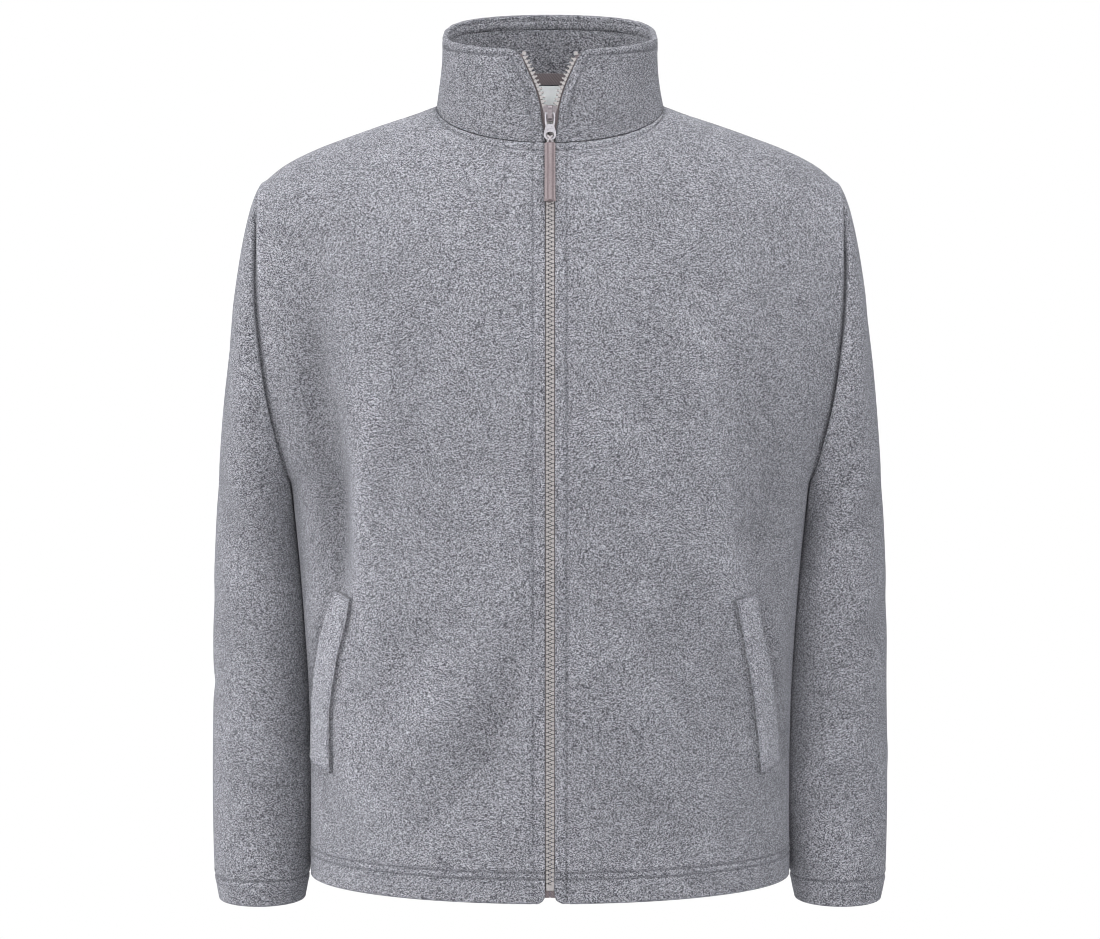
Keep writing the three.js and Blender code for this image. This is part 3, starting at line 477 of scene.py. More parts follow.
# The solids' own folds come first in each list, then the finer ones.
FRONT_FOLDS = fold_list(
    (-214, -200, -196, -450, -7, 22),
    (-172, -190, -164, -480, 4, 26),
    (-10, -505, -108, -640, -4.5, 26),
    (-60, -470, -160, -600, 3, 30),
    (60, -270, 172, -425, 3, 28),
    (196, -330, 176, -400, -4, 22),
    (214, -440, 216, -600, -3, 16),
)
BACK_FOLDS = fold_list(
    (-196, -230, -176, -480, -6, 26),
    (190, -240, 170, -500, -6, 26),
    (-90, -360, 30, -470, -3.5, 30),
    (110, -520, 20, -620, 3, 30),
)
FRONT_CREASES = fold_list(
    # The broad soft folds of the wearer's right chest, then of the left.
    (-220, -104, -184, -410, -9.5, 27, 4),
    (-46, -220, -66, -380, -2.2, 34, 4),
    (-190, -300, -190, -420, -2.4, 15, 2),
    (-148, -230, -172, -430, 4.2, 13, 3),
    (-190, -420, -196, -560, 3.2, 20, -3),
    (-8, -470, -97, -592, -2.6, 14, 3),
    (-30, -560, -110, -660, 2.4, 14, 4),
    (-10, -400, -70, -480, 2.6, 14, 3),
    (-60, -370, -120, -560, 1.8, 16, 3),
    (-126, -440, -146, -560, -2.4, 18, 3),
    (133, -190, 168, -460, 3.4, 15, 4),
    (20, -500, 100, -640, -1.2, 16, -3),
    (10, -450, 60, -560, 2.2, 14, -3),
    (190, -90, 206, -200, -2.6, 22, 3),
    (-200, -80, -150, -130, -2.4, 26, 3),
    (46, -400, 126, -520, -2.8, 14, 3),
    (20, -330, 90, -380, -2.2, 12, 3),
    (196, -220, 186, -420, -1.0, 18, 4),
    (-120, -160, -112, -300, -1.6, 26, -5),
    (-96, -330, -60, -560, -2.0, 24, 8),
    (-56, -200, -50, -420, 1.6, 26, -6),
    (-170, -600, -90, -680, 2.0, 22, -4),
    (80, -190, 120, -380, -1.8, 26, 8),
    (60, -440, 130, -560, 2.2, 24, 6),
    (150, -360, 100, -480, -2.0, 20, 6),
    (40, -560, 120, -640, -1.8, 22, 5),
    (180, -200, 206, -420, -2.4, 20, -6),
    (126, -590, 150, -690, 1.8, 18, 3),
    # The dips in front of the pockets' mouths and beside their welts.
    (186, -424, 214, -590, -6.0, 6, -4),
    (-200, -424, -223, -592, -6.0, 6, 4),
    # Shorter and sharper ones.
    (-190, -250, -184, -470, -4.2, 11, 5, 0.3),
    (-158, -330, -150, -500, 3.5, 12, -4, -0.3),
    (-140, -300, -150, -430, -2.6, 13, 4),
    (-20, -500, -58, -566, -2.6, 9, 3, 0.3),
    (-62, -440, -80, -520, 2.2, 13, 3),
    (-96, -440, -132, -500, -2.4, 12, -3, 0.2),
    (-120, -250, -100, -330, -1.9, 18, 4),
    (24, -318, 66, -350, -2.4, 8, 2, 0.3),
    (22, -346, 58, -366, 1.6, 7),
    (24, -420, 60, -452, -1.9, 9, -2),
    (70, -420, 108, -460, 2.6, 16, 3),
    (100, -500, 150, -560, -2.2, 14, 4),
    (130, -480, 168, -500, -2.1, 9, 2),
    (138, -540, 176, -556, -1.9, 8, -2, 0.3),
    (146, -572, 180, -590, 1.6, 8),
    (206, -380, 190, -470, -3.2, 11, -4, 0.2),
    (112, -160, 190, -300, 2.2, 22, 6),
    (150, -210, 196, -330, -2.1, 14, 5),
    (-190, -520, -150, -660, 2.4, 18, 5),
    (-206, -540, -196, -650, -2.9, 10, 3),
    (60, -600, 160, -650, -1.9, 16, -4),
    (-84, -110, -180, -170, -1.6, 22, -6),
    (90, -110, 180, -160, -1.6, 20, 6),
)
BACK_CREASES = fold_list(
    (-184, -260, -150, -420, -3.0, 12, 5, 0.3),
    (178, -250, 150, -400, -3.3, 12, -5, -0.2),
    (-150, -300, -110, -420, 2.4, 15, 4),
    (150, -320, 108, -450, 2.2, 16, -4),
    (-120, -480, -20, -540, -2.7, 14, -6, 0.2),
    (20, -420, 120, -480, -2.4, 15, 6),
    (-60, -560, 60, -590, -2.1, 14, 5),
    (-180, -560, -120, -650, 2.4, 17, 4),
    (170, -570, 120, -660, 2.2, 17, -4),
    (-110, -120, -180, -210, -1.8, 20, 5),
    (110, -120, 184, -220, -1.8, 20, -5),
    (-16, -200, 20, -330, 1.7, 24, 6),
)
# On a sleeve a degree round it counts as a millimetre, from its outer side towards the front.
SLEEVE_FOLDS = fold_list(
    (20, -330, 95, -395, -4.5, 20),
    (10, -440, 100, -500, -4, 22),
    (-150, -470, -60, -430, -4, 22),
    (60, -590, 130, -640, -3, 20),
    (-120, -620, -40, -585, -3, 20),
)
SLEEVE_CREASES = {
    Side.RIGHT: fold_list(
        (60, -300, 140, -360, -2.4, 11, 3, 0.2),
        (40, -400, 120, -450, 2.4, 12, -3),
        (70, -530, 150, -580, -3.0, 12, 3, 0.3),
        (30, -560, 110, -600, 2.2, 12, 3),
        (80, -640, 160, -676, -2.7, 11, -3, 0.3),
        (20, -660, 80, -690, 1.6, 10, 2),
        (-20, -500, 40, -540, -1.8, 12, 3),
        (-90, -360, -30, -400, -2.7, 13, 3),
        (-140, -540, -60, -510, -2.7, 12, 3, 0.2),
        (-110, -670, -50, -645, 2.0, 11, 2),
        (10, -190, 50, -290, -2.0, 16, 5),
    ),
    Side.LEFT: fold_list(
        (70, -320, 150, -370, -2.2, 12, -3, 0.2),
        (30, -420, 100, -470, 2.2, 13, 3),
        (60, -500, 140, -560, -2.4, 13, 3, 0.3),
        (90, -580, 160, -620, 2.4, 12, -3),
        (40, -630, 120, -680, -2.4, 12, 3, 0.2),
        (-30, -560, 30, -600, 0.6, 12, 3),
        (-100, -330, -20, -380, -2.7, 13, -3),
        (-150, -500, -70, -480, 2.3, 13, 3),
        (-120, -600, -50, -560, -2.4, 12, 3, 0.2),
        (15, -180, 60, -300, -1.8, 17, -5),
    ),
}


@dataclass
class SleeveForm:
    """A sleeve's surface: length is 0 at the armhole, 1 at the elbow and 2 at the cuff."""

    cap_out: float = 0.068
    cap_down: float = 0.094
    fuller: float = 0.034
    inset: float = 0.003
    forward: float = 0.03
    drop: float = 0.07
    elbow_reach: float = 0.15
    tuck: float = 0.0045
    sections: Table = Table(
        ("z", "middle_x", "half_width", "middle_y", "half_depth"),
        (
            (-0.400, 0.2695, 0.0388, 0.025, 0.057),
            (-0.450, 0.2672, 0.0436, 0.026, 0.055),
            (-0.520, 0.2644, 0.0468, 0.025, 0.052),
            (-0.600, 0.2642, 0.0482, 0.022, 0.049),
            (-0.660, 0.2654, 0.0468, 0.019, 0.046),
            (-0.700, 0.2670, 0.0438, 0.017, 0.043),
            (-0.724, 0.2672, 0.0398, 0.016, 0.039),
        ),
    )

    @property
    def elbow_z(self) -> float:
        """The height of the elbow, where the level sections start."""
        return float(self.sections.keys[-1])

    @property
    def cuff_z(self) -> float:
        """The height of the cuff's edge."""
        return self.sections.low

    def armhole(self, around: np.ndarray) -> np.ndarray:
        """The armhole's loop: around is 0 at the shoulder and a right angle at the front."""
        turn = np.mod(around, 2 * np.pi)
        fall = np.where(turn < np.pi, turn, 2 * np.pi - turn)
        top = fall <= np.pi / 2
        below = 1 + (1 - TRUNK.underarm_row) * np.cos(np.maximum(fall, np.pi / 2))
        h = np.where(top, 2 - fall / (np.pi / 2), below)
        ends = np.ones(np.shape(h))
        front, back = TRUNK.plain(Face.FRONT, ends, h), TRUNK.plain(Face.BACK, ends, h)
        return np.where((turn < np.pi)[..., None], front, back)

    def beside_trunk(self, point: np.ndarray) -> np.ndarray:
        """Keeps points clear of the trunk that the sleeve hangs against."""
        x, y, z = point[..., 0], point[..., 1], point[..., 2]
        seam = TRUNK.sections.at("seam", z)
        middle = np.where(y < seam, TRUNK.middle(Face.FRONT, z), TRUNK.middle(Face.BACK, z))
        share = np.minimum((y - seam) / (middle - seam), 1)
        trunk_x = TRUNK.sections.at("side", z) * np.sqrt(1 - share**2) + CLOTH.sleeve_clear
        clear_x = np.where(z > TRUNK.underarm_z, x, np.maximum(x, trunk_x))
        return stack(clear_x, y, z)

    def level(self, around: np.ndarray, z: np.ndarray) -> np.ndarray:
        """A level section of the lower sleeve."""
        width = self.sections.at("half_width", z) * np.cos(around)
        depth = self.sections.at("half_depth", z) * np.sin(around)
        x = self.sections.at("middle_x", z) + width
        return self.beside_trunk(stack(x, self.sections.at("middle_y", z) - depth, z))

    def plain(self, around: np.ndarray, length: np.ndarray) -> np.ndarray:
        """The surface without its folds, for x above 0."""
        around, length = np.broadcast_arrays(np.asarray(around, float), np.asarray(length, float))
        out, front = np.cos(around), np.sin(around)
        upper = (1 + out) / 2
        low_z = blend(self.elbow_z, self.cuff_z, np.clip(length - 1, 0, 1))
        leave = stack(
            self.cap_out * upper + self.fuller * front**2 - self.inset,
            -self.forward * front,
            -self.cap_down * upper - self.drop * (1 - upper),
        )
        start = self.armhole(around)
        elbow = self.level(around, np.full_like(out, self.elbow_z))
        below = self.level(around, np.full_like(out, self.elbow_z - MM))
        arrive = (below - elbow) / MM * (self.elbow_reach * (1 + upper))[..., None]
        t = np.clip(length, 0, 1)[..., None]
        upper_part = hermite(t, start, leave, elbow, arrive)
        whole = np.where((length >= 1)[..., None], self.level(around, low_z), upper_part)
        # Under the arm the inner side hugs the trunk, so no slit shows between them.
        low = -whole[..., 2]
        under = smoothstep(low, 0.326, 0.350) * (1 - smoothstep(low, 0.44, 0.52))
        shift = self.tuck * under * np.clip(-out, 0, 1)
        return self.beside_trunk(whole - stack(shift, 0, 0))


SLEEVE = SleeveForm()


@dataclass
class CollarForm:
    """The stand collar's surface: turn is 0 at the middle of the front and pi at the back's."""

    foot: float = 0.001
    back_round: float = 0.62
    waist: float = 0.002
    top_side: tuple[float, float, float] = (0.096, -0.005, 0.067)
    top_middle: dict[Face, tuple[float, float]] = field(
        default_factory=lambda: {Face.FRONT: (-0.068, 0.052), Face.BACK: (0.058, 0.091)}
    )
    opening: Table = Table(
        ("z", "edge", "chain"),
        (
            (-0.030, 0.0043, 0.00015),
            (-0.016, 0.0056, 0.00015),
            (-0.010, 0.0069, 0.0003),
            (0.003, 0.0084, 0.0034),
            (0.0168, 0.0122, 0.0072),
            (0.030, 0.0176, 0.0126),
            (0.041, 0.0228, 0.0178),
            (0.047, 0.0260, 0.0208),
            (0.052, 0.0330, 0.0236),
        ),
    )

    @property
    def lean(self) -> float:
        """How far the collar's front leans back, in radians."""
        foot_y, foot_z = TRUNK.neck_middle[Face.FRONT]
        top_y, top_z = self.top_middle[Face.FRONT]
        return math.atan2(top_y - foot_y, top_z - foot_z)

    def front_z(self, v: np.ndarray) -> np.ndarray:
        """The height of the front edge at a share v of the collar's height."""
        return blend(TRUNK.neck_middle[Face.FRONT][1], self.top_middle[Face.FRONT][1], v)

    def side(self, v: np.ndarray) -> np.ndarray:
        """Half the collar's width, pulled in halfway up."""
        return blend(TRUNK.neck_side[0], self.top_side[0], v) - self.waist * np.sin(np.pi * v)

    def plain(self, turn: np.ndarray, v: np.ndarray) -> np.ndarray:
        """Points of the surface, for x above 0."""
        turn, v = np.broadcast_arrays(np.asarray(turn, float), np.asarray(v, float))
        foot_front, foot_back = TRUNK.neck_middle[Face.FRONT], TRUNK.neck_middle[Face.BACK]
        top_front, top_back = self.top_middle[Face.FRONT], self.top_middle[Face.BACK]
        forward = np.cos(turn)
        ahead = forward > 0
        middle_y, middle_z = (
            np.where(ahead, blend(foot_front[i], top_front[i], v), blend(foot_back[i], top_back[i], v))
            for i in (0, 1)
        )
        side_y, side_z = (blend(a, b, v) for a, b in zip(TRUNK.neck_side[1:], self.top_side[1:]))
        lift = np.abs(forward) ** np.where(ahead, 1.0, blend(1.0, self.back_round, v))
        x = self.side(v) * np.sin(turn)
        return stack(x, blend(side_y, middle_y, lift), blend(side_z, middle_z, lift))

    def edge_turn(self, v: np.ndarray) -> np.ndarray:
        """The turn at which the front edge lies."""
        return np.arcsin(self.opening.at("edge", self.front_z(v)) / self.side(v))

    def point(self, across: np.ndarray, v: np.ndarray) -> np.ndarray:
        """Points with across 0 at the middle of the back and -1 or 1 at the front edges."""
        edge = self.edge_turn(v)
        turn = edge + (np.pi - edge) * (1 - np.abs(across))
        points = self.plain(turn, v)
        return points * stack(np.where(across < 0, -1.0, 1.0), 1.0, 1.0)

    def outward(self, across: np.ndarray, v: np.ndarray) -> np.ndarray:
        """The surface's outward direction."""
        across, v = np.broadcast_arrays(np.asarray(across, float), np.asarray(v, float))
        normal = facing(self.point, across, v, 0.003, (-1, 1), (0, 1))
        away = self.point(across, v) * np.array([1.0, 1.0, 0.0])
        return normal * np.sign((normal * away).sum(-1, keepdims=True))


COLLAR = CollarForm()


# Meshes.


def ladder(length: float, base: float, zones: Sequence[tuple[float, float, float]] = ()) -> np.ndarray:
    """Gives places from 0 to length, closer together at both ends and in the named zones.

    Args:
        length: the whole distance.
        base: the usual step.
        zones: (from, to, step) stretches that need a smaller step.

    Returns:
        The places, the first 0 and the last length.
    """
    places = [0.0]
    while places[-1] < length:
        at = places[-1]
        edge = min(at, length - at)
        step = min(base, 0.00018 + 0.32 * edge)
        for low, high, fine in zones:
            outside = max(low - at, at - high, 0.0)
            step = min(step, fine + 0.35 * outside)
        places.append(at + step)
    placed = np.array(places)
    return placed * (length / placed[-1])


def grid_normals(grid: np.ndarray, loop: bool) -> np.ndarray:
    """Gives the unit direction across rows and columns at each point of a grid."""
    if loop:
        across = np.roll(grid, -1, axis=1) - np.roll(grid, 1, axis=1)
    else:
        across = np.gradient(grid, axis=1)
    up = np.gradient(grid, axis=0)
    return unit(np.cross(across, up))


def edge_distances(grid: np.ndarray) -> tuple[np.ndarray, ...]:
    """Gives each point's distance along the grid from its first and last row and column."""
    found = []
    for axis in (0, 1):
        steps = np.diff(grid, axis=axis, prepend=np.take(grid, [0], axis))
        found.append(np.cumsum(np.linalg.norm(steps, axis=-1), axis=axis))
    rows, columns = found
    return rows, rows[-1:] - rows, columns, columns[:, -1:] - columns


def fullness(distance: np.ndarray, radius: float) -> np.ndarray:
    """The share of its thickness that a rounded edge has at a distance from the edge."""
    return np.sqrt(1 - (1 - np.clip(distance / radius, 0, 1)) ** 2)


def linked(name: str, data: bpy.types.ID) -> bpy.types.Object:
    """Makes an object from its data and links it to the scene."""
    made = bpy.data.objects.new(name, data)
    bpy.context.scene.collection.objects.link(made)
    return made


def mesh_object(name: str, points: np.ndarray, faces: Sequence[Sequence[int]]) -> bpy.types.Object:
    """Makes a smooth mesh object at the origin.

    Args:
        name: the object's name.
        points: an array of points in the frame.
        faces: lists of point numbers.

    Returns:
        The object, linked to the scene.
    """
    mesh = bpy.data.meshes.new(name)
    mesh.from_pydata(np.asarray(points, float).reshape(-1, 3).tolist(), [], [list(f) for f in faces])
    mesh.validate()
    mesh.polygons.foreach_set("use_smooth", [True] * len(mesh.polygons))
    return linked(name, mesh)


def grid_faces(index: np.ndarray, loop: bool) -> np.ndarray:
    """Gives the four-sided faces of a grid of point numbers."""
    right = np.roll(index, -1, axis=1) if loop else index[:, 1:]
    left = index if loop else index[:, :-1]
    return np.stack([left[:-1], right[:-1], right[1:], left[1:]], axis=-1).reshape(-1, 4)


def cloth_shell(
    name: str,
    outer: np.ndarray,
    thickness: np.ndarray,
    outward: int,
    loop: bool = False,
    tone: Optional[np.ndarray] = None,
    rounding: np.ndarray | float = CLOTH.edge_round,
) -> bpy.types.Object:
    """Makes a closed cloth wall with rounded edges behind a grid of outer points.

    Args:
        name: the object's name.
        outer: the outer face, as rows of points.
        thickness: the cloth's thickness at each point.
        outward: 1 if across times up points outwards on the grid, and -1 if it points in.
        loop: whether each row closes on itself.
        tone: the painted shade (above 0) and painted highlight (below 0) at each point, kept as an
            attribute.
        rounding: how far from an edge the cloth starts to round over, in all or at each point.

    Returns:
        The cloth's object.
    """
    normals = grid_normals(outer, loop) * outward
    low, high, first, last = edge_distances(outer)
    near = np.minimum(low, high)
    if not loop:
        near = np.minimum(near, np.minimum(first, last))
    half = thickness / 2 * fullness(near, rounding)
    middle = outer - normals * (thickness / 2)[..., None]
    front, rear = middle + normals * half[..., None], middle - normals * half[..., None]
    rows, columns = outer.shape[:2]
    index = np.arange(rows * columns).reshape(rows, columns)
    shared = np.zeros((rows, columns), bool)
    shared[[0, -1]] = True
    if not loop:
        shared[:, [0, -1]] = True
    behind = np.full((rows, columns), -1)
    behind[~shared] = rows * columns + np.arange(np.count_nonzero(~shared))
    behind[shared] = index[shared]
    faces = np.concatenate([grid_faces(index, loop), grid_faces(behind, loop)[:, ::-1]])
    if outward < 0:
        faces = faces[:, ::-1]
    cloth = mesh_object(name, np.concatenate([front.reshape(-1, 3), rear[~shared]]), faces.tolist())
    if tone is not None:
        attribute = cloth.data.attributes.new("nap_tone", "FLOAT", "POINT")
        values = np.concatenate([tone.ravel(), 0.3 * tone[~shared]])
        attribute.data.foreach_set("value", values.astype(np.float32))
    return cloth


def cut_size(outer: np.ndarray, loop: bool = False) -> tuple[float, float, float]:
    """Gives a grid's largest width, largest length and area, as it would lie flat."""
    closed = np.concatenate([outer, outer[:, :1]], axis=1) if loop else outer
    width = np.linalg.norm(np.diff(closed, axis=1), axis=-1).sum(1).max()
    length = np.linalg.norm(np.diff(closed, axis=0), axis=-1).sum(0).max()
    side_a, side_b = np.diff(closed, axis=1)[:-1], np.diff(closed, axis=0)[:, :-1]
    area = np.linalg.norm(np.cross(side_a, side_b), axis=-1).sum()
    return float(width), float(length), float(area)


# Materials.


def linear(hex_colour: str) -> tuple[float, float, float, float]:
    """Turns an sRGB hex colour into linear light."""
    channels = [int(hex_colour.lstrip("#")[i : i + 2], 16) / 255 for i in (0, 2, 4)]
    turned = [c / 12.92 if c <= 0.04045 else ((c + 0.055) / 1.055) ** 2.4 for c in channels]
    return (*turned, 1.0)


def add_node(
    tree: bpy.types.NodeTree, kind: str, links: Optional[dict] = None, **settings
) -> bpy.types.Node:
    """Adds a node with its settings, input values and links.

    Args:
        tree: the tree that gets the node.
        kind: Blender's name for the kind of node.
        links: inputs by name or number, each with a value or the socket that feeds it.
        settings: the node's own properties.

    Returns:
        The node.
    """
    node = tree.nodes.new(kind)
    for name, value in settings.items():
        setattr(node, name, value)
    for key, value in (links or {}).items():
        if isinstance(value, bpy.types.NodeSocket):
            tree.links.new(value, node.inputs[key])
        else:
            node.inputs[key].default_value = value
    return node


def noise(tree, where, scale: float, detail: float, roughness: float = 0.5, distortion: float = 0.0):
    """Adds a noise and gives its factor."""
    values = {"Scale": scale, "Detail": detail, "Roughness": roughness, "Distortion": distortion}
    return add_node(tree, "ShaderNodeTexNoise", {"Vector": where, **values}).outputs["Fac"]


def ranged(tree, value, source: tuple[float, float], target: tuple[float, float]):
    """Adds a node that maps one range of a value to another and gives its result."""
    names = ("From Min", "From Max", "To Min", "To Max")
    links = {"Value": value, **dict(zip(names, (*source, *target)))}
    return add_node(tree, "ShaderNodeMapRange", links).outputs[0]


def colour_ramp(tree, factor, *stops: tuple[float, str]):
    """Adds a ramp through stops of a place and a hex colour, and gives its colour."""
    node = add_node(tree, "ShaderNodeValToRGB", {"Fac": factor})
    first, *between, last = stops
    for element, (position, colour) in zip(node.color_ramp.elements, (first, last)):
        element.position, element.color = position, linear(colour)
    for position, colour in between:
        node.color_ramp.elements.new(position).color = linear(colour)
    return node.outputs["Color"]


def relief(tree, height, strength: float, distance: float):
    """Adds a bump and gives its normal."""
    links = {"Height": height, "Strength": strength, "Distance": distance}
    return add_node(tree, "ShaderNodeBump", links).outputs[0]


def principled(tree, colour, normal, values: dict):
    """Adds the surface's own shader and gives it."""
    links = {"Base Color": colour, "Normal": normal, **values}
    return add_node(tree, "ShaderNodeBsdfPrincipled", links).outputs[0]


class Finish:
    """A surface finish that builds its material once."""

    name = "finish"

    def __init__(self) -> None:
        """Starts with no material made."""
        self.made: Optional[bpy.types.Material] = None

    def nodes(self, tree: bpy.types.NodeTree) -> bpy.types.NodeSocket:
        """Adds the finish's nodes and gives its shader."""
        raise NotImplementedError

    def material(self) -> bpy.types.Material:
        """The material, made the first time that it is asked for."""
        if self.made is None:
            self.made = bpy.data.materials.new(self.name)
            self.made.use_nodes = True
            tree = self.made.node_tree
            tree.nodes.clear()
            add_node(tree, "ShaderNodeOutputMaterial", {"Surface": self.nodes(tree)})
        return self.made

    def dress(self, piece: bpy.types.Object) -> None:
        """Gives the piece this finish on every face."""
        piece.data.materials.clear()
        piece.data.materials.append(self.material())


class BrushedFleece(Finish):
    """Polyester polar fleece, knitted from grey melange yarn and brushed to a short nap.

    It gives the eye a matt cloth flecked with light and dark fibres, whose nap lights up where it
    is seen edge on.
    """

    name = "polyester_melange_fleece"

    def __init__(self, light: str = "#bcbcc3", dark: str = "#34353b", body: str = "#7b7c81") -> None:
        """Sets the yarn's colours.

        Args:
            light: the palest fibres.
            dark: the darkest fibres.
            body: the cloth from a distance.
        """
        super().__init__()
        self.light, self.dark, self.body = light, dark, body

    def nodes(self, tree: bpy.types.NodeTree) -> bpy.types.NodeSocket:
        """Adds the cloth's nodes: flecks, tufts, long shading, the pieces' painted shade and highlight,
        and the nap's relief.
        """
        where = add_node(tree, "ShaderNodeTexCoord").outputs["Object"]
        # Flecks of 1 to 2 mm, a little longer across, as the yarn runs round the cloth.
        level = add_node(tree, "ShaderNodeMapping", {"Vector": where, "Scale": (0.85, 0.85, 1.2)})
        flecks = noise(tree, level.outputs[0], 960.0, 3.0, 0.75, 0.7)
        tufts = noise(tree, level.outputs[0], 300.0, 3.0, 0.6, 0.5)
        clouds = noise(tree, where, 26.0, 4.0, 0.6)
        fibres = colour_ramp(tree, flecks, (0.43, self.dark), (0.5, self.body), (0.57, self.light))
        # The pieces' attribute paints shade (above 0) and highlight (below 0) into the colour.
        painted_shading = add_node(tree, "ShaderNodeAttribute", attribute_name="nap_tone").outputs["Fac"]
        shade = ranged(tree, tufts, (0.3, 0.7), (0.78, 1.18))
        for other in (
            ranged(tree, clouds, (0.3, 0.7), (0.93, 1.07)),
            ranged(tree, painted_shading, (-1.0, 2.0), (1.25, 0.2)),
        ):
            factors = {0: shade, 1: other}
            shade = add_node(tree, "ShaderNodeMath", factors, operation="MULTIPLY").outputs[0]
        colour = add_node(tree, "ShaderNodeVectorMath", {0: fibres, "Scale": shade}, operation="SCALE")
        terms = {0: tufts, 1: 0.8, 2: flecks}
        height = add_node(tree, "ShaderNodeMath", terms, operation="MULTIPLY_ADD")
        nap = relief(tree, height.outputs[0], 0.8, 0.0014)
        values = {
            "Roughness": 0.95,
            "IOR": 1.5,
            "Specular IOR Level": 0.12,
            "Sheen Weight": 0.35,
            "Sheen Roughness": 0.4,
            "Sheen Tint": linear("#dfe0e8"),
        }
        return principled(tree, colour.outputs[0], nap, values)


class WovenTape(Finish):
    """Polyester zip and neck tape in a herringbone weave: matt, with a fine rib."""

    name = "polyester_woven_tape"

    def nodes(self, tree: bpy.types.NodeTree) -> bpy.types.NodeSocket:
        """Adds the tape's ribs and its slightly uneven dye."""
        where = add_node(tree, "ShaderNodeTexCoord").outputs["Object"]
        # Ribs 0.6 mm apart, about the real weave's.
        ribs = add_node(
            tree,
            "ShaderNodeTexWave",
            {"Vector": where, "Scale": 1 / 0.0006 / 6.283, "Distortion": 2.5, "Detail": 2.0},
            bands_direction="DIAGONAL",
        )
        colour = colour_ramp(tree, ribs.outputs["Fac"], (0.0, "#675e60"), (1.0, "#7d7375"))
        bump = relief(tree, ribs.outputs["Fac"], 0.5, 0.0004)
        return principled(tree, colour, bump, {"Roughness": 0.8, "Sheen Weight": 0.15})


class SatinLabel(Finish):
    """Satin-woven polyester label, left plain: smooth, pale and slightly glossy."""

    name = "polyester_satin_label"

    def nodes(self, tree: bpy.types.NodeTree) -> bpy.types.NodeSocket:
        """Adds the satin's fine lines."""
        where = add_node(tree, "ShaderNodeTexCoord").outputs["Object"]
        wave = {"Vector": where, "Scale": 320.0, "Distortion": 0.4}
        lines = add_node(tree, "ShaderNodeTexWave", wave, bands_direction="Z").outputs["Fac"]
        colour = colour_ramp(tree, lines, (0.0, "#eef3f4"), (1.0, "#fbfdfd"))
        return principled(tree, colour, relief(tree, lines, 0.25, 0.0003), {"Roughness": 0.45})


@dataclass
class SpeckledSolid:
    """The numbers of a plain moulded or painted surface."""

    low: str
    high: str
    scale: float
    roughness: float
    metallic: float = 0.0
    bump: float = 0.0002
    coat: float = 0.0


class SmoothFinish(Finish):
    """A moulded or painted surface with faint unevenness and wear."""

    def __init__(self, name: str, look: SpeckledSolid) -> None:
        """Names the finish.

        Args:
            name: the material's name.
            look: its numbers.
        """
        super().__init__()
        self.name, self.look = name, look

    def nodes(self, tree: bpy.types.NodeTree) -> bpy.types.NodeSocket:
        """Adds a noise that varies the colour, the gloss and the relief."""
        where = add_node(tree, "ShaderNodeTexCoord").outputs["Object"]
        look = self.look
        uneven = noise(tree, where, look.scale, 4.0)
        colour = colour_ramp(tree, uneven, (0.35, look.low), (0.65, look.high))
        gloss = ranged(tree, uneven, (0.0, 1.0), (look.roughness - 0.08, look.roughness + 0.08))
        values = {"Roughness": gloss, "Metallic": look.metallic, "Coat Weight": look.coat}
        return principled(tree, colour, relief(tree, uneven, 0.3, look.bump), values)


def smooth(name: str, *numbers) -> Finish:
    """Declares a smooth finish as a field, from its name and the numbers of its look."""
    return field(default_factory=lambda: SmoothFinish(name, SpeckledSolid(*numbers)))


@dataclass
class Wardrobe:
    """Every finish of the jacket."""

    # Spun polyester sewing thread: matt, in the cloth's own grey.
    thread: Finish = smooth("spun_polyester_thread", "#62636c", "#7d7e87", 1800.0, 0.75)
    fleece: Finish = field(default_factory=BrushedFleece)
    tape: Finish = field(default_factory=WovenTape)
    label: Finish = field(default_factory=SatinLabel)
    # Injection-moulded acetal: dense, slightly waxy plastic.
    teeth: Finish = smooth("moulded_acetal_teeth", "#8d8988", "#9c9897", 900.0, 0.62)
    # Die-cast zinc under baked enamel: smooth, with soft highlights.
    metal: Finish = smooth(
        "enamelled_die_cast_zinc", "#6a6366", "#7b7377", 700.0, 0.36, 0.45, 0.0001, 0.3
    )
    # The puller's own paler enamel on the same zinc.
    puller: Finish = smooth("pale_enamelled_zinc", "#8e8b90", "#9f9ca1", 700.0, 0.3, 0.5, 0.0001, 0.3)
    # Braided polyester cord: matt grey.
    cord: Finish = smooth("braided_polyester_cord", "#8d878a", "#aaa4a7", 1500.0, 0.7)
    # The zip's end film: dull blue-grey nylon.
    film: Finish = smooth("zip_end_nylon_film", "#696a7c", "#77788a", 900.0, 0.6)
    # Moulded soft PVC: matt, with a faint waxy shine.
    tab: Finish = smooth("moulded_pvc_tab", "#655a5c", "#766a6c", 600.0, 0.38)


def settle(
    piece: bpy.types.Object,
    finish: Finish,
    slot: Slot,
    body: str = "garment",
    nodes: Sequence[str] = (),
) -> None:
    """Dresses a piece, ties it to its body, and lets it stand for CAD nodes.

    Args:
        piece: the finished piece.
        finish: its finish.
        slot: the record's slot; not used.
        body: the CAD body that it rides on.
        nodes: the CAD nodes that it replaces.
    """
    finish.dress(piece)
    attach(piece, body)
    if nodes:
        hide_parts(*nodes)
    LOG.info("%s: %d faces", piece.name, len(piece.data.polygons))


def cloth_piece(
    finishes: Wardrobe, node: str, outer: np.ndarray, thickness: np.ndarray, outward: int, **shell
) -> bpy.types.Object:
    """Makes the cloth that stands for a CAD node, and reports its cut.

    Args:
        finishes: every finish.
        node: the CAD node's name.
        outer: the outer face, as rows of points.
        thickness: the cloth's thickness at each point.
        outward: as for cloth_shell.
        shell: cloth_shell's other values.

    Returns:
        The cloth's object.
    """
    cloth = cloth_shell(f"cloth_{node}", outer, thickness, outward, **shell)
    settle(cloth, finishes.fleece, Slot.FLEECE, nodes=(node,))
    LOG.info("%s cut %s", node, cut_size(outer, shell.get("loop", False)))
    return cloth


# Small hard pieces.


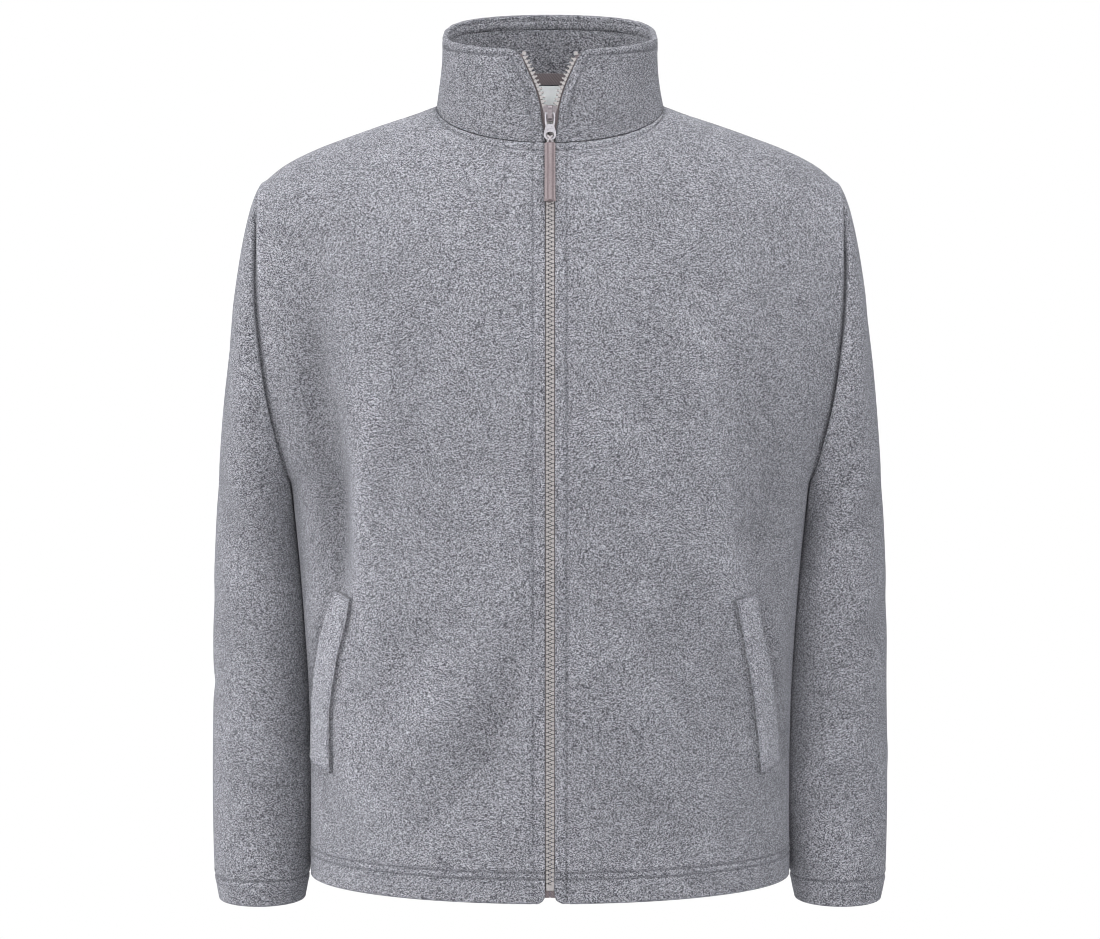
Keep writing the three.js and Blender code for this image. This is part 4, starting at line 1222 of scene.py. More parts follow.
def turn_out(mesh: bpy.types.Mesh, weld: float = 0.0) -> None:
    """Makes a mesh's faces point outwards, after welding points closer than weld."""
    work = bmesh.new()
    work.from_mesh(mesh)
    if weld:
        bmesh.ops.remove_doubles(work, verts=work.verts, dist=weld)
    bmesh.ops.recalc_face_normals(work, faces=work.faces)
    work.to_mesh(mesh)
    work.free()


def lofted(rings: Sequence[np.ndarray]) -> bpy.types.Mesh:
    """Joins rings of points into a closed smooth solid with flat ends."""
    points = np.asarray(rings, float)
    index = np.arange(points.shape[0] * points.shape[1]).reshape(points.shape[:2])
    faces = [*grid_faces(index, loop=True).tolist(), index[0, ::-1].tolist(), index[-1].tolist()]
    mesh = bpy.data.meshes.new("loft")
    mesh.from_pydata(points.reshape(-1, 3).tolist(), [], faces)
    turn_out(mesh)
    return mesh


def rounded(corners: Sequence[tuple[float, float]], steps: int = 5) -> np.ndarray:
    """Runs a smooth closed line through the corners of an outline."""
    points = np.asarray(corners, float)
    before, after = np.roll(points, 1, axis=0), np.roll(points, -1, axis=0)
    beyond = np.roll(points, -2, axis=0)
    t = (np.arange(steps) / steps)[None, :, None]
    slope_a, slope_b = 0.36 * (after - before), 0.36 * (beyond - points)
    curve = hermite(t, points[:, None], slope_a[:, None], after[:, None], slope_b[:, None])
    return curve.reshape(-1, 2)


def both_sides(rows: Sequence[tuple[float, float]]) -> list[tuple[float, float]]:
    """Closes an outline from the half widths down its right side."""
    return [*rows, *[(-half, z) for half, z in reversed(rows)]]


FRONT_PLANE = Matrix(((1, 0, 0, 0), (0, 0, -1, 0), (0, 1, 0, 0), (0, 0, 0, 1)))
SIDE_PLANE = Matrix(((0, 0, -1, 0), (0, 1, 0, 0), (1, 0, 0, 0), (0, 0, 0, 1)))


def plate(
    outline: np.ndarray,
    thickness: float,
    bevel: float,
    holes: Sequence[np.ndarray] = (),
    place: Matrix = FRONT_PLANE,
) -> bpy.types.Mesh:
    """Makes a flat plate with rounded edges from an outline in millimetres.

    Args:
        outline: the outer line's points.
        thickness: the whole thickness.
        bevel: the edges' rounding.
        holes: the lines of its holes.
        place: turns and moves the plate, still in millimetres.

    Returns:
        The plate's mesh, in metres.
    """
    curve = bpy.data.curves.new("plate", "CURVE")
    curve.dimensions, curve.fill_mode = "2D", "BOTH"
    curve.extrude, curve.bevel_depth, curve.bevel_resolution = thickness / 2 - bevel, bevel, 2
    curve.offset = -bevel
    for ring in (outline, *holes):
        spline = curve.splines.new("POLY")
        spline.points.add(len(ring) - 1)
        for point, (a, b) in zip(spline.points, ring):
            point.co = (a, b, 0, 1)
        spline.use_cyclic_u = True
    carrier = linked("plate", curve)
    graph = bpy.context.evaluated_depsgraph_get()
    mesh = bpy.data.meshes.new_from_object(carrier.evaluated_get(graph))
    bpy.data.objects.remove(carrier)
    bpy.data.curves.remove(curve)
    mesh.transform(Matrix.Scale(MM, 4) @ place)
    turn_out(mesh, weld=2e-6)
    return mesh


def joined(name: str, parts: Sequence[bpy.types.Mesh], place: Matrix = Matrix()) -> bpy.types.Object:
    """Joins meshes into one object whose own place stays the origin."""
    work = bmesh.new()
    for part in parts:
        work.from_mesh(part)
    mesh = bpy.data.meshes.new(name)
    work.to_mesh(mesh)
    work.free()
    mesh.transform(place)
    mesh.polygons.foreach_set("use_smooth", [True] * len(mesh.polygons))
    mesh.set_sharp_from_angle(angle=math.radians(48))
    return linked(name, mesh)


# Repeats along lines.


@dataclass
class Route:
    """A line for repeats to follow, with the outward direction at each of its points."""

    points: np.ndarray
    outward: np.ndarray
    closed: bool = False


class RepeatAlong:
    """A Geometry Nodes group that lays copies of a small piece along lines at an even pitch."""

    INPUTS = (
        ("Lines", "NodeSocketGeometry"),
        ("Copy", "NodeSocketObject"),
        ("Finish", "NodeSocketMaterial"),
        ("Pitch", "NodeSocketFloat"),
        ("Unevenness", "NodeSocketFloat"),
        ("Seed", "NodeSocketInt"),
    )

    def __init__(self) -> None:
        """Makes the group with its inputs and nodes."""
        self.tree = bpy.data.node_groups.new("repeat_along", "GeometryNodeTree")
        for name, kind in self.INPUTS:
            self.tree.interface.new_socket(name, in_out="INPUT", socket_type=kind)
        self.tree.interface.new_socket("Copies", in_out="OUTPUT", socket_type="NodeSocketGeometry")
        tree = self.tree
        given = add_node(tree, "NodeGroupInput").outputs
        line = add_node(tree, "GeometryNodeMeshToCurve", {"Mesh": given["Lines"]}).outputs[0]
        spaced = add_node(
            tree, "GeometryNodeResampleCurve", {"Curve": line, "Length": given["Pitch"]}, mode="LENGTH"
        )
        outward = add_node(
            tree, "GeometryNodeInputNamedAttribute", {"Name": "outward"}, data_type="FLOAT_VECTOR"
        )
        away = outward.outputs["Attribute"]
        upright = add_node(tree, "FunctionNodeAlignRotationToVector", {"Vector": away}, axis="Z")
        tangent = add_node(tree, "GeometryNodeInputTangent").outputs[0]
        aimed = add_node(
            tree,
            "FunctionNodeAlignRotationToVector",
            {"Rotation": upright.outputs[0], "Vector": tangent},
            axis="X",
            pivot_axis="Z",
        )
        chance = add_node(
            tree,
            "FunctionNodeRandomValue",
            {0: (-1.0, -1.0, -1.0), 1: (1.0, 1.0, 1.0), "Seed": given["Seed"]},
            data_type="FLOAT_VECTOR",
        )
        uneven = add_node(
            tree,
            "ShaderNodeVectorMath",
            {0: chance.outputs[0], "Scale": given["Unevenness"]},
            operation="SCALE",
        )
        turned = add_node(
            tree,
            "FunctionNodeRotateRotation",
            {"Rotation": aimed.outputs[0], "Rotate By": uneven.outputs[0]},
            rotation_space="LOCAL",
        )
        copy = add_node(tree, "GeometryNodeObjectInfo", {"Object": given["Copy"]})
        laid = add_node(
            tree,
            "GeometryNodeInstanceOnPoints",
            {
                "Points": spaced.outputs[0],
                "Instance": copy.outputs["Geometry"],
                "Rotation": turned.outputs[0],
            },
        )
        real = add_node(tree, "GeometryNodeRealizeInstances", {"Geometry": laid.outputs[0]})
        dressed = add_node(
            tree, "GeometryNodeSetMaterial", {"Geometry": real.outputs[0], "Material": given["Finish"]}
        )
        add_node(tree, "NodeGroupOutput", {"Copies": dressed.outputs[0]})

    def lay(
        self, name: str, routes: Sequence[Route], copy: bpy.types.Mesh, finish: Finish, pitch: float,
        unevenness: float = 0.0,
    ) -> bpy.types.Object:
        """Lays copies along the routes and turns them into one plain mesh.

        Args:
            name: the new piece's name.
            routes: the lines to follow.
            copy: the mesh that is repeated, its X along the line and its Z outwards.
            finish: the piece's finish.
            pitch: the distance between copies.
            unevenness: the largest turn of a copy from its true direction, in radians.

        Returns:
            The piece.
        """
        points, edges = [], []
        for route in routes:
            start, count = len(points), len(route.points)
            points.extend(route.points.tolist())
            last = count if route.closed else count - 1
            edges.extend((start + i, start + (i + 1) % count) for i in range(last))
        mesh = bpy.data.meshes.new(f"{name}_lines")
        mesh.from_pydata(points, edges, [])
        outward = mesh.attributes.new("outward", "FLOAT_VECTOR", "POINT")
        outward.data.foreach_set("vector", np.concatenate([r.outward for r in routes]).ravel())
        piece, pattern = linked(name, mesh), linked(f"{name}_copy", copy)
        modifier = piece.modifiers.new("repeat_along", "NODES")
        modifier.node_group = self.tree
        values = {
            "Copy": pattern,
            "Finish": finish.material(),
            "Pitch": pitch,
            "Unevenness": unevenness,
            "Seed": len(name),
        }
        for item in self.tree.interface.items_tree:
            if item.name in values:
                modifier[item.identifier] = values[item.name]
        graph = bpy.context.evaluated_depsgraph_get()
        laid = bpy.data.meshes.new_from_object(piece.evaluated_get(graph))
        piece.modifiers.clear()
        piece.data = laid
        bpy.data.objects.remove(pattern)
        bpy.data.meshes.remove(mesh)
        return piece


@dataclass
class SewingThread:
    """One stitch of a topstitched line, whose ends dive into the cloth."""

    length: float = 0.0030
    radius: float = 0.00026
    dive: float = 0.0005
    pitch: float = 0.0036
    lift: float = 0.00012

    def stitch(self) -> bpy.types.Mesh:
        """Makes the stitch about the origin, along X."""
        turns = np.linspace(0, 2 * np.pi, 7)[:-1]
        rings = []
        for share, full in ((-1.0, 0.55), (-0.7, 1.0), (0.0, 1.05), (0.7, 1.0), (1.0, 0.55)):
            radius = self.radius * full
            middle = self.lift - self.dive * abs(share) ** 3
            x = np.full(6, share * self.length / 2)
            rings.append(stack(x, radius * np.cos(turns), middle + radius * np.sin(turns)))
        return lofted(rings)

    def sew(self, repeats: RepeatAlong, name: str, routes: Sequence[Route], finishes: Wardrobe) -> None:
        """Sews every route of a piece."""
        piece = repeats.lay(name, routes, self.stitch(), finishes.thread, self.pitch, 0.07)
        settle(piece, finishes.thread, Slot.FLEECE)


# The jacket's sub-assemblies.


@dataclass
class Topstitch:
    """How a line of topstitching pulls the cloth in, and the painted shade in its groove."""

    depth: float = 0.0013
    half_width: float = 0.0012
    pillow: float = 0.0004
    press: float = 0.9

    def dip(self, distance: np.ndarray) -> np.ndarray:
        """The cloth's drop at a distance from the line, with a slight swell beside it."""
        near = bell(distance, self.half_width)
        beside = bell(np.abs(distance) - 3 * self.half_width, 2 * self.half_width)
        return -self.depth * near + self.pillow * beside

    def tone(self, distance: np.ndarray) -> np.ndarray:
        """How much painted shade darkens the stitch groove at a distance from the line."""
        return self.press * bell(distance, 0.75 * self.half_width)


STITCH = Topstitch()


@dataclass
class TrunkPanels:
    """The two fronts and the back, cut in one piece each from the hem to the shoulder."""

    base_step: float = 0.004
    hem_lines: tuple[float, float] = (0.022, 0.028)
    zip_line: float = 0.0148
    neck_line: float = 0.0078
    shoulder_line: float = 0.0045
    panel_width: float = 0.285
    # How far from the side seam the folds and the creases fade in, as shares of a panel.
    fold_fade: float = 0.12
    crease_fade: float = 0.07
    # The puckers along the hem and the zip: their period and height.
    hem_pucker: tuple[float, float] = (0.017, 0.00045)
    zip_pucker: tuple[float, float] = (0.013, 0.0004)
    # The rolled edge beside the armhole: its place, reach, height, and how much painted highlight it
    # gets.
    lip_place: float = 0.0035
    lip_reach: float = 0.003
    lip_height: float = 0.0012
    lip_light: float = 0.42
    shoulder_length: float = 0.172
    top_share: float = 0.9995

    def row_places(self) -> np.ndarray:
        """The heights h of the rows, dense at the hem's and the neck's stitching."""
        low = TRUNK.chest_z - TRUNK.hem_z
        length = low + self.shoulder_length
        hem = (self.hem_lines[0] - 0.003, self.hem_lines[1] + 0.003, 0.0008)
        top = (length - self.neck_line - 0.004, length, 0.0009)
        places = ladder(length, self.base_step, (hem, top))
        above = 1 + (places - low) / self.shoulder_length * self.top_share
        return np.where(places <= low, places / low, above)

    def column_places(self, face: Face) -> np.ndarray:
        """The places u of the columns, dense beside the zip."""
        if face is Face.FRONT:
            edge = self.zip_line - TRUNK.zip_half_gap
            places = ladder(self.panel_width, self.base_step, ((0.0, edge + 0.004, 0.001),))
            return places / self.panel_width * TRUNK.side_end
        places = ladder(2 * self.panel_width, self.base_step)
        places = places[places >= self.panel_width]
        return (places - places[0]) / (places[-1] - places[0]) * TRUNK.side_end

    def surface(
        self, face: Face, side: Side, u: np.ndarray, h: np.ndarray
    ) -> tuple[np.ndarray, np.ndarray]:
        """Gives the outer face with all its folds and sewing, and the painted shade and highlight on
        it.

        Args:
            face: front or back.
            side: the wearer's side.
            u: from the middle to the side.
            h: from the hem to the top.

        Returns:
            The points and the tone of painted shade and highlight, both in the shape of u and h.
        """
        u, h = np.broadcast_arrays(np.asarray(u, float), np.asarray(h, float))
        plain, normal = TRUNK.plain(face, u, h), TRUNK.outward(face, u, h)
        x, z = plain[..., 0], plain[..., 2]
        if face is Face.FRONT:
            folds, creases = FRONT_FOLDS, FRONT_CREASES
            by_zip, ease = smoothstep(x, 0.014, 0.05), smoothstep(x, 0.010, 0.03)
        else:
            folds, creases, by_zip, ease = BACK_FOLDS, BACK_CREASES, 1.0, 1.0
        hem_height = z - TRUNK.hem_z
        rise = fold_height(folds, x * side, z) * smoothstep(1 - u, 0, self.fold_fade) * by_zip
        by_edges = smoothstep(1 - u, 0, self.crease_fade) * ease
        by_hem = smoothstep(hem_height, 0.0, 0.05)
        rise = rise + fold_height(creases, x * side, z) * by_edges * by_hem
        period, most = self.hem_pucker
        pucker = wander(x * side + 0.3 * face, period, 5 + side) * most
        hem_band = smoothstep(hem_height, 0.001, 0.012) * smoothstep(-hem_height, -0.036, -0.024)
        rise = rise + pucker * hem_band
        below_top = (2 - h) * self.shoulder_length
        at_neck = 1 - smoothstep(u, TRUNK.neck_share * 0.93, TRUNK.neck_share)
        # Each line of sewing: the distance from it, and where it counts.
        lines = [(hem_height - height, 1.0) for height in self.hem_lines]
        lines.append((below_top - self.neck_line, at_neck))
        if face is Face.BACK:
            on_shoulder = smoothstep(u, TRUNK.neck_share, TRUNK.neck_share * 1.05)
            lines.append((below_top - self.shoulder_line, on_shoulder))
        else:
            lines.append((x - self.zip_line, 1.0))
            band = smoothstep(-x, -0.019, -0.013) * smoothstep(x, 0.005, 0.008)
            period, most = self.zip_pucker
            rise = rise + wander(z, period, 11 + side) * most * band
        sew = sum(STITCH.dip(away) * share for away, share in lines)
        # Painted shade in the stitch grooves and fold troughs, painted highlight on the ridges.
        tone = sum(STITCH.tone(away) * share for away, share in lines) + nap_shade(rise)
        from_side = (1 - u) * self.panel_width
        if face is Face.FRONT:
            # The rolled edge at the armhole rises and gets a painted highlight.
            lip = bell(from_side - self.lip_place, self.lip_reach)
            lip = lip * smoothstep(h, TRUNK.underarm_row, 1.0)
            rise = rise + self.lip_height * lip
            tone = tone - self.lip_light * lip
        # Painted shade along the side seam.
        seam_shade = SEAM_PAINTED_SHADE * bell(from_side, SEAM_REACH)
        points = plain + normal * (rise + sew)[..., None]
        return mirrored(points, side), tone + seam_shade

    def line(self, face: Face, side: Side, u: np.ndarray, h: np.ndarray) -> Route:
        """A sewing line over a panel."""
        u, h = np.broadcast_arrays(np.asarray(u, float), np.asarray(h, float))
        outward = mirrored(TRUNK.outward(face, u, h), side)
        return Route(self.surface(face, side, u, h)[0], outward)

    def routes(self) -> list[Route]:
        """Every topstitched line of the trunk."""
        low = TRUNK.chest_z - TRUNK.hem_z
        neck_h = 2 - self.neck_line / self.shoulder_length
        below_chest = np.arange(self.hem_lines[0], low, 0.004) / low
        rise = np.concatenate([below_chest, np.arange(1, neck_h, 0.02)])
        by_zip = TRUNK.column_at(Face.FRONT, self.zip_line, rise)
        start = float(TRUNK.column_at(Face.FRONT, self.zip_line, np.array([0.05]))[0])
        found = []
        for side in Side:
            found.append(self.line(Face.FRONT, side, by_zip, rise))
            for height in self.hem_lines:
                for face, first in ((Face.FRONT, start), (Face.BACK, 0.0)):
                    along = np.linspace(first, 0.995, 90)
                    found.append(self.line(face, side, along, height / low))
            for face, first in ((Face.FRONT, by_zip[-1]), (Face.BACK, 0)):
                neck = np.linspace(first, TRUNK.neck_share * 0.96, 40)
                found.append(self.line(face, side, neck, neck_h))
            on_shoulder = np.linspace(TRUNK.neck_share * 1.04, 0.99, 50)
            shoulder_h = 2 - self.shoulder_line / self.shoulder_length
            found.append(self.line(Face.BACK, side, on_shoulder, shoulder_h))
        return found

    def corner_lift(self, x: np.ndarray) -> np.ndarray:
        """How far the rounded lower corner beside the zip rises."""
        inside = np.clip(TRUNK.corner_radius - (np.abs(x) - TRUNK.zip_half_gap), 0, TRUNK.corner_radius)
        return TRUNK.corner_radius - np.sqrt(TRUNK.corner_radius**2 - inside**2)

    def grid(self, face: Face, side: Side) -> tuple[np.ndarray, ...]:
        """Gives a half's points, tones, thicknesses and edge rounding on its rows and columns."""
        u, h = np.meshgrid(self.column_places(face), self.row_places())
        points, tone = self.surface(face, side, u, h)
        if face is Face.FRONT:
            height = points[..., 2] - TRUNK.hem_z
            fade = 1 - smoothstep(height, 0.0, 0.02)
            points[..., 2] += self.corner_lift(points[..., 0]) * fade
        height = h * (TRUNK.chest_z - TRUNK.hem_z)
        thickness = turned_up(height, CLOTH.hem_depth)
        by_seam = smoothstep(u, 0.95, 0.97) * smoothstep(height, 0.002, 0.006)
        rounding = blend(CLOTH.edge_round, CLOTH.seam_round, by_seam)
        at_top = smoothstep(h, 1.9, 1.97) * (1 - by_seam)
        rounding = rounding + (CLOTH.neck_round - CLOTH.edge_round) * at_top
        return points, tone, thickness, rounding

    def build(self, finishes: Wardrobe) -> None:
        """Builds the three panels."""
        for side in Side:
            points, tone, thickness, rounding = self.grid(Face.FRONT, side)
            name = f"front_{side.word}"
            cloth = cloth_piece(
                finishes, name, points, thickness, int(side), tone=tone, rounding=rounding
            )
            right, left = self.grid(Face.BACK, Side.RIGHT), self.grid(Face.BACK, Side.LEFT)
        points, tone, thickness, rounding = (
            np.concatenate([a[:, :0:-1], b], axis=1) for a, b in zip(right, left)
        )
        cloth = cloth_piece(finishes, "back", points, thickness, -1, tone=tone, rounding=rounding)


@dataclass
class Sleeves:
    """The two set-in sleeves, each with a turned-up cuff."""

    base_step: float = 0.004
    cuff_line: float = 0.024
    upper_length: float = 0.36
    # The trough beside the armhole seam: its depth, its reach, and how much painted shade it gets on
    # each side.
    seam_trough: float = 0.007
    seam_reach: float = 0.011
    seam_shade: dict[Side, float] = field(default_factory=lambda: {Side.RIGHT: 0.22, Side.LEFT: 0.75})

    def row_places(self) -> np.ndarray:
        """The places along the sleeve, dense at the cuff's stitching."""
        lower = SLEEVE.elbow_z - SLEEVE.cuff_z
        length = self.upper_length + lower
        cuff = (length - self.cuff_line - 0.003, length - self.cuff_line + 0.003, 0.0008)
        places = ladder(length, self.base_step, (cuff,))
        upper = places <= self.upper_length
        return np.where(upper, places / self.upper_length, 1 + (places - self.upper_length) / lower)

    def surface(
        self, side: Side, around: np.ndarray, length: np.ndarray
    ) -> tuple[np.ndarray, np.ndarray]:
        """Gives the outer face with all its folds and sewing, and the painted shade and highlight on
        it.
        """
        plain = SLEEVE.plain(around, length)
        normal = facing(SLEEVE.plain, around, length, 0.01, (-np.inf, np.inf), (0, 2))
        turned = np.degrees(np.arctan2(np.sin(around), np.cos(around))) * MM
        z = plain[..., 2]
        calm = smoothstep(length, 0, 0.35)
        rise = fold_height(SLEEVE_FOLDS, turned, z) * calm
        cuff_height = z - SLEEVE.cuff_z
        by_cuff = smoothstep(cuff_height, 0.0, 0.045)
        creases = fold_height(SLEEVE_CREASES[side], turned, z)
        rise = rise + creases * smoothstep(length, 0, 0.2) * by_cuff
        cuff_band = smoothstep(cuff_height, 0.001, 0.010) * smoothstep(-cuff_height, -0.032, -0.02)
        rise = rise + wander(around * 0.045, 0.015, 21 + side) * 0.0005 * cuff_band
        from_seam = length * self.upper_length
        ahead = smoothstep(np.sin(around), 0.1, 0.75) * smoothstep(from_seam, 0.0, 0.007)
        beside = ahead * bell(from_seam - self.seam_reach, self.seam_reach)
        rise = rise - self.seam_trough * beside
        near = cuff_height - self.cuff_line
        # Painted shade in the cuff's stitch groove, the fold troughs and the trough beside the armhole
        # seam; painted highlight on ridges.
        tone = STITCH.tone(near) + nap_shade(rise) + self.seam_shade[side] * beside
        # Painted shade on the inner front of the sleeve, towards the trunk.
        inner = smoothstep(-np.cos(around), -0.1, 0.5) * smoothstep(length, 0.25, 0.8)
        tone = tone + 0.16 * inner * smoothstep(np.sin(around), 0.0, 0.5)
        rise = rise + STITCH.dip(near)
        # Painted shade along the armhole seam.
        start_shade = SEAM_PAINTED_SHADE * bell(from_seam, SEAM_REACH)
        return mirrored(plain + normal * rise[..., None], side), tone + start_shade

    def routes(self) -> list[Route]:
        """The cuffs' topstitching."""
        around = np.linspace(0, 2 * np.pi, 121)[:-1]
        length = 2 - self.cuff_line / (SLEEVE.elbow_z - SLEEVE.cuff_z)
        found = []
        for side in Side:
            points, _ = self.surface(side, around, np.full_like(around, length))
            away = stack(np.cos(around) * side, -np.sin(around), 0 * around)
            found.append(Route(points, away, closed=True))
        return found

    def build(self, finishes: Wardrobe) -> None:
        """Builds both sleeves."""
        columns = np.linspace(0, 2 * np.pi, 85)[:-1]
        for side in Side:
            around, length = np.meshgrid(columns, self.row_places())
            points, tone = self.surface(side, around, length)
            height = points[..., 2] - SLEEVE.cuff_z
            thickness = turned_up(height, CLOTH.cuff_depth)
            rounding = blend(CLOTH.seam_round, CLOTH.edge_round, smoothstep(length, 0.9, 1.1))
            name = f"sleeve_{side.word}"
            shell = {"loop": True, "tone": tone, "rounding": rounding}
            cloth = cloth_piece(finishes, name, points, thickness, int(side), **shell)


@dataclass
class StandCollar:
    """The stand collar, folded over at its top and open at the front in a V."""

    base_step: float = 0.0035
    line: float = 0.0098
    half_round: float = 0.27
    height: float = 0.078
    sewn: list[Route] = field(default_factory=list)

    def places(self) -> tuple[np.ndarray, np.ndarray]:
        """The places across and up the collar, dense at the topstitching."""
        edge = (self.half_round - self.line - 0.003, self.half_round - self.line + 0.003, 0.0009)
        half = ladder(self.half_round, self.base_step, (edge,))
        half = half / self.half_round
        start = half >= 0.02
        half = np.concatenate([[0.0], half[start]])
        top = (self.height - self.line - 0.003, self.height - self.line + 0.003, 0.0009)
        up = ladder(self.height, self.base_step, (top,)) / self.height
        return np.concatenate([-half[:0:-1], half]), COLLAR.foot + (1 - COLLAR.foot) * up

    def build(self, finishes: Wardrobe) -> None:
        """Builds the collar."""
        across, v = np.meshgrid(*self.places())
        plain, normal = COLLAR.point(across, v), COLLAR.outward(across, v)
        low, high, first, last = edge_distances(plain)
        front = np.minimum(first, last)
        at_front = smoothstep(v, 0.18, 0.24)
        from_edge = np.minimum(high, front + (1 - at_front) * 0.03)
        rise = STITCH.dip(from_edge - self.line)
        # Painted shade over the whole collar, and more in its stitch grooves.
        tone = STITCH.tone(from_edge - self.line) + 0.34
        swell = smoothstep(low, 0.0, 0.02) * smoothstep(high, 0.0, 0.02)
        along = across * self.half_round
        rise = rise + wander(along, 0.11, 31) * 0.0011 * swell
        rise = rise + wander(along, 0.016, 32) * 0.0003 * smoothstep(-from_edge, -0.013, -0.004)
        points = plain + normal * rise[..., None]
        thickness = np.full(across.shape, CLOTH.collar)
        self.sewn = self.routes(points, normal, high, np.minimum(first, last))
        rounding = blend(CLOTH.collar / 2, CLOTH.neck_round, 1 - smoothstep(v, 0.04, 0.09))
        shell = {"tone": tone, "rounding": rounding}
        cloth = cloth_piece(finishes, "collar", points, thickness, -1, **shell)

    def routes(self, points, normal, from_top, from_front) -> list[Route]:
        """The topstitching beside the top edge and the front edges, outside and inside.

        Args:
            points: the collar's outer face, as rows of points.
            normal: its outward direction.
            from_top: each point's distance from the top edge.
            from_front: each point's distance from the nearer front edge.

        Returns:
            The lines.
        """
        rows, columns = from_top.shape
        numbers = np.arange(max(rows, columns), dtype=float)

        def pick(grid: np.ndarray, row: np.ndarray, column: np.ndarray) -> np.ndarray:
            """Reads a grid between its rows and columns."""
            r, c = np.minimum(row.astype(int), rows - 2), np.minimum(column.astype(int), columns - 2)
            p, q = (row - r)[:, None], (column - c)[:, None]
            low = grid[r, c] * (1 - q) + grid[r, c + 1] * q
            return low * (1 - p) + (grid[r + 1, c] * (1 - q) + grid[r + 1, c + 1] * q) * p

        half = columns // 2
        downward = numbers[:rows][::-1]
        row_at = np.array([np.interp(self.line, tops, downward) for tops in from_top[::-1].T])
        inward = numbers[:half]
        column_at = np.array([np.interp(self.line, edges[:half], inward) for edges in from_front])
        top_row, low_row = row_at[0], int(rows * 0.25)
        inner = (numbers[:columns] > column_at[int(top_row)]) & (
            numbers[:columns] < columns - 1 - column_at[int(top_row)]
        )
        up = numbers[low_row : int(top_row)]
        side = column_at[low_row : int(top_row)]
        row = np.concatenate([up, row_at[inner], up[::-1]])
        column = np.concatenate([side, numbers[:columns][inner], columns - 1 - side[::-1]])
        place, out = pick(points, row, column), unit(pick(normal, row, column))
        return [Route(place, out), Route(place - out * (CLOTH.collar - STITCH.depth), -out)]


@dataclass(frozen=True)
class WeltPlace:
    """Where a pocket's welt lies on its front, from its upper inner corner."""

    side: Side
    top: tuple[float, float]
    bottom: tuple[float, float]
    bow: float = 0.004


@dataclass
class PocketWelts:
    """The slanting pockets' welts, each a folded bar sewn down along its inner edge and ends."""

    width: float = 0.02
    length: float = 0.162
    thickness: float = 0.0032
    clear: float = 0.00055
    skew: float = 0.005
    places: tuple[WeltPlace, ...] = (
        WeltPlace(Side.LEFT, (0.160, -0.430), (0.186, -0.590)),
        WeltPlace(Side.RIGHT, (0.174, -0.430), (0.196, -0.592)),
    )
    edge_line: float = 0.0022
    mouth_lift: float = 0.0014
    sewn: list[Route] = field(default_factory=list)

    def build(self, panels: TrunkPanels, finishes: Wardrobe) -> None:
        """Builds both welts on the fronts' own surface."""
        down_places = ladder(self.length, 0.003)[::-1] / self.length
        across_places = ladder(self.width, 0.0012) / self.width
        for place in self.places:
            across, down = np.meshgrid(across_places, down_places)
            (top_x, top_z), (low_x, low_z) = place.top, place.bottom
            x = top_x + (low_x - top_x) * down + place.bow * np.sin(np.pi * down) + self.width * across
            z = top_z + (low_z - top_z) * down + self.skew * across
            u, h = TRUNK.front_place(x, z)
            base, _ = panels.surface(Face.FRONT, place.side, u, h)
            normal = mirrored(TRUNK.outward(Face.FRONT, u, h), place.side)
            crown = 0.0004 * np.sin(np.pi * across)
            crown = crown + wander(down * self.length, 0.03, 41 + place.side) * 0.0003
            from_sewn = np.minimum(across * self.width, np.minimum(down, 1 - down) * self.length)
            sew = STITCH.dip(from_sewn - self.edge_line)
            lift = self.mouth_lift * smoothstep(across, 0.35, 1.0) * np.sin(np.pi * down) ** 0.6
            outer = base + normal * (self.clear + self.thickness + crown + lift + sew)[..., None]
            thickness = np.full(across.shape, self.thickness)
            column = int(np.argmin(np.abs(across[0] * self.width - self.edge_line)))
            from_top = down[:, 0] * self.length
            sewn_ends = (self.edge_line, self.length - 0.002)
            ends = [int(np.argmin(np.abs(from_top - at))) for at in sewn_ends]
            high, low = min(ends), max(ends)
            self.sewn.append(Route(outer[high:low, column], normal[high:low, column]))
            for row in (high, low):
                self.sewn.append(Route(outer[row, column:-1], normal[row, column:-1]))
            name = f"pocket_welt_{place.side.word}"
            # Painted shadow lines along every edge, a little painted shade on the stitching, and
            # painted highlight over the rest of the welt.
            from_any = np.minimum(from_sewn, (1 - across) * self.width)
            tone = 0.3 * STITCH.tone(from_sewn - self.edge_line) + 1.9 * bell(from_any, 0.0009) - 0.6
            shell = {"tone": tone, "rounding": CLOTH.welt_round}
            cloth = cloth_piece(finishes, name, outer, thickness, int(place.side), **shell)


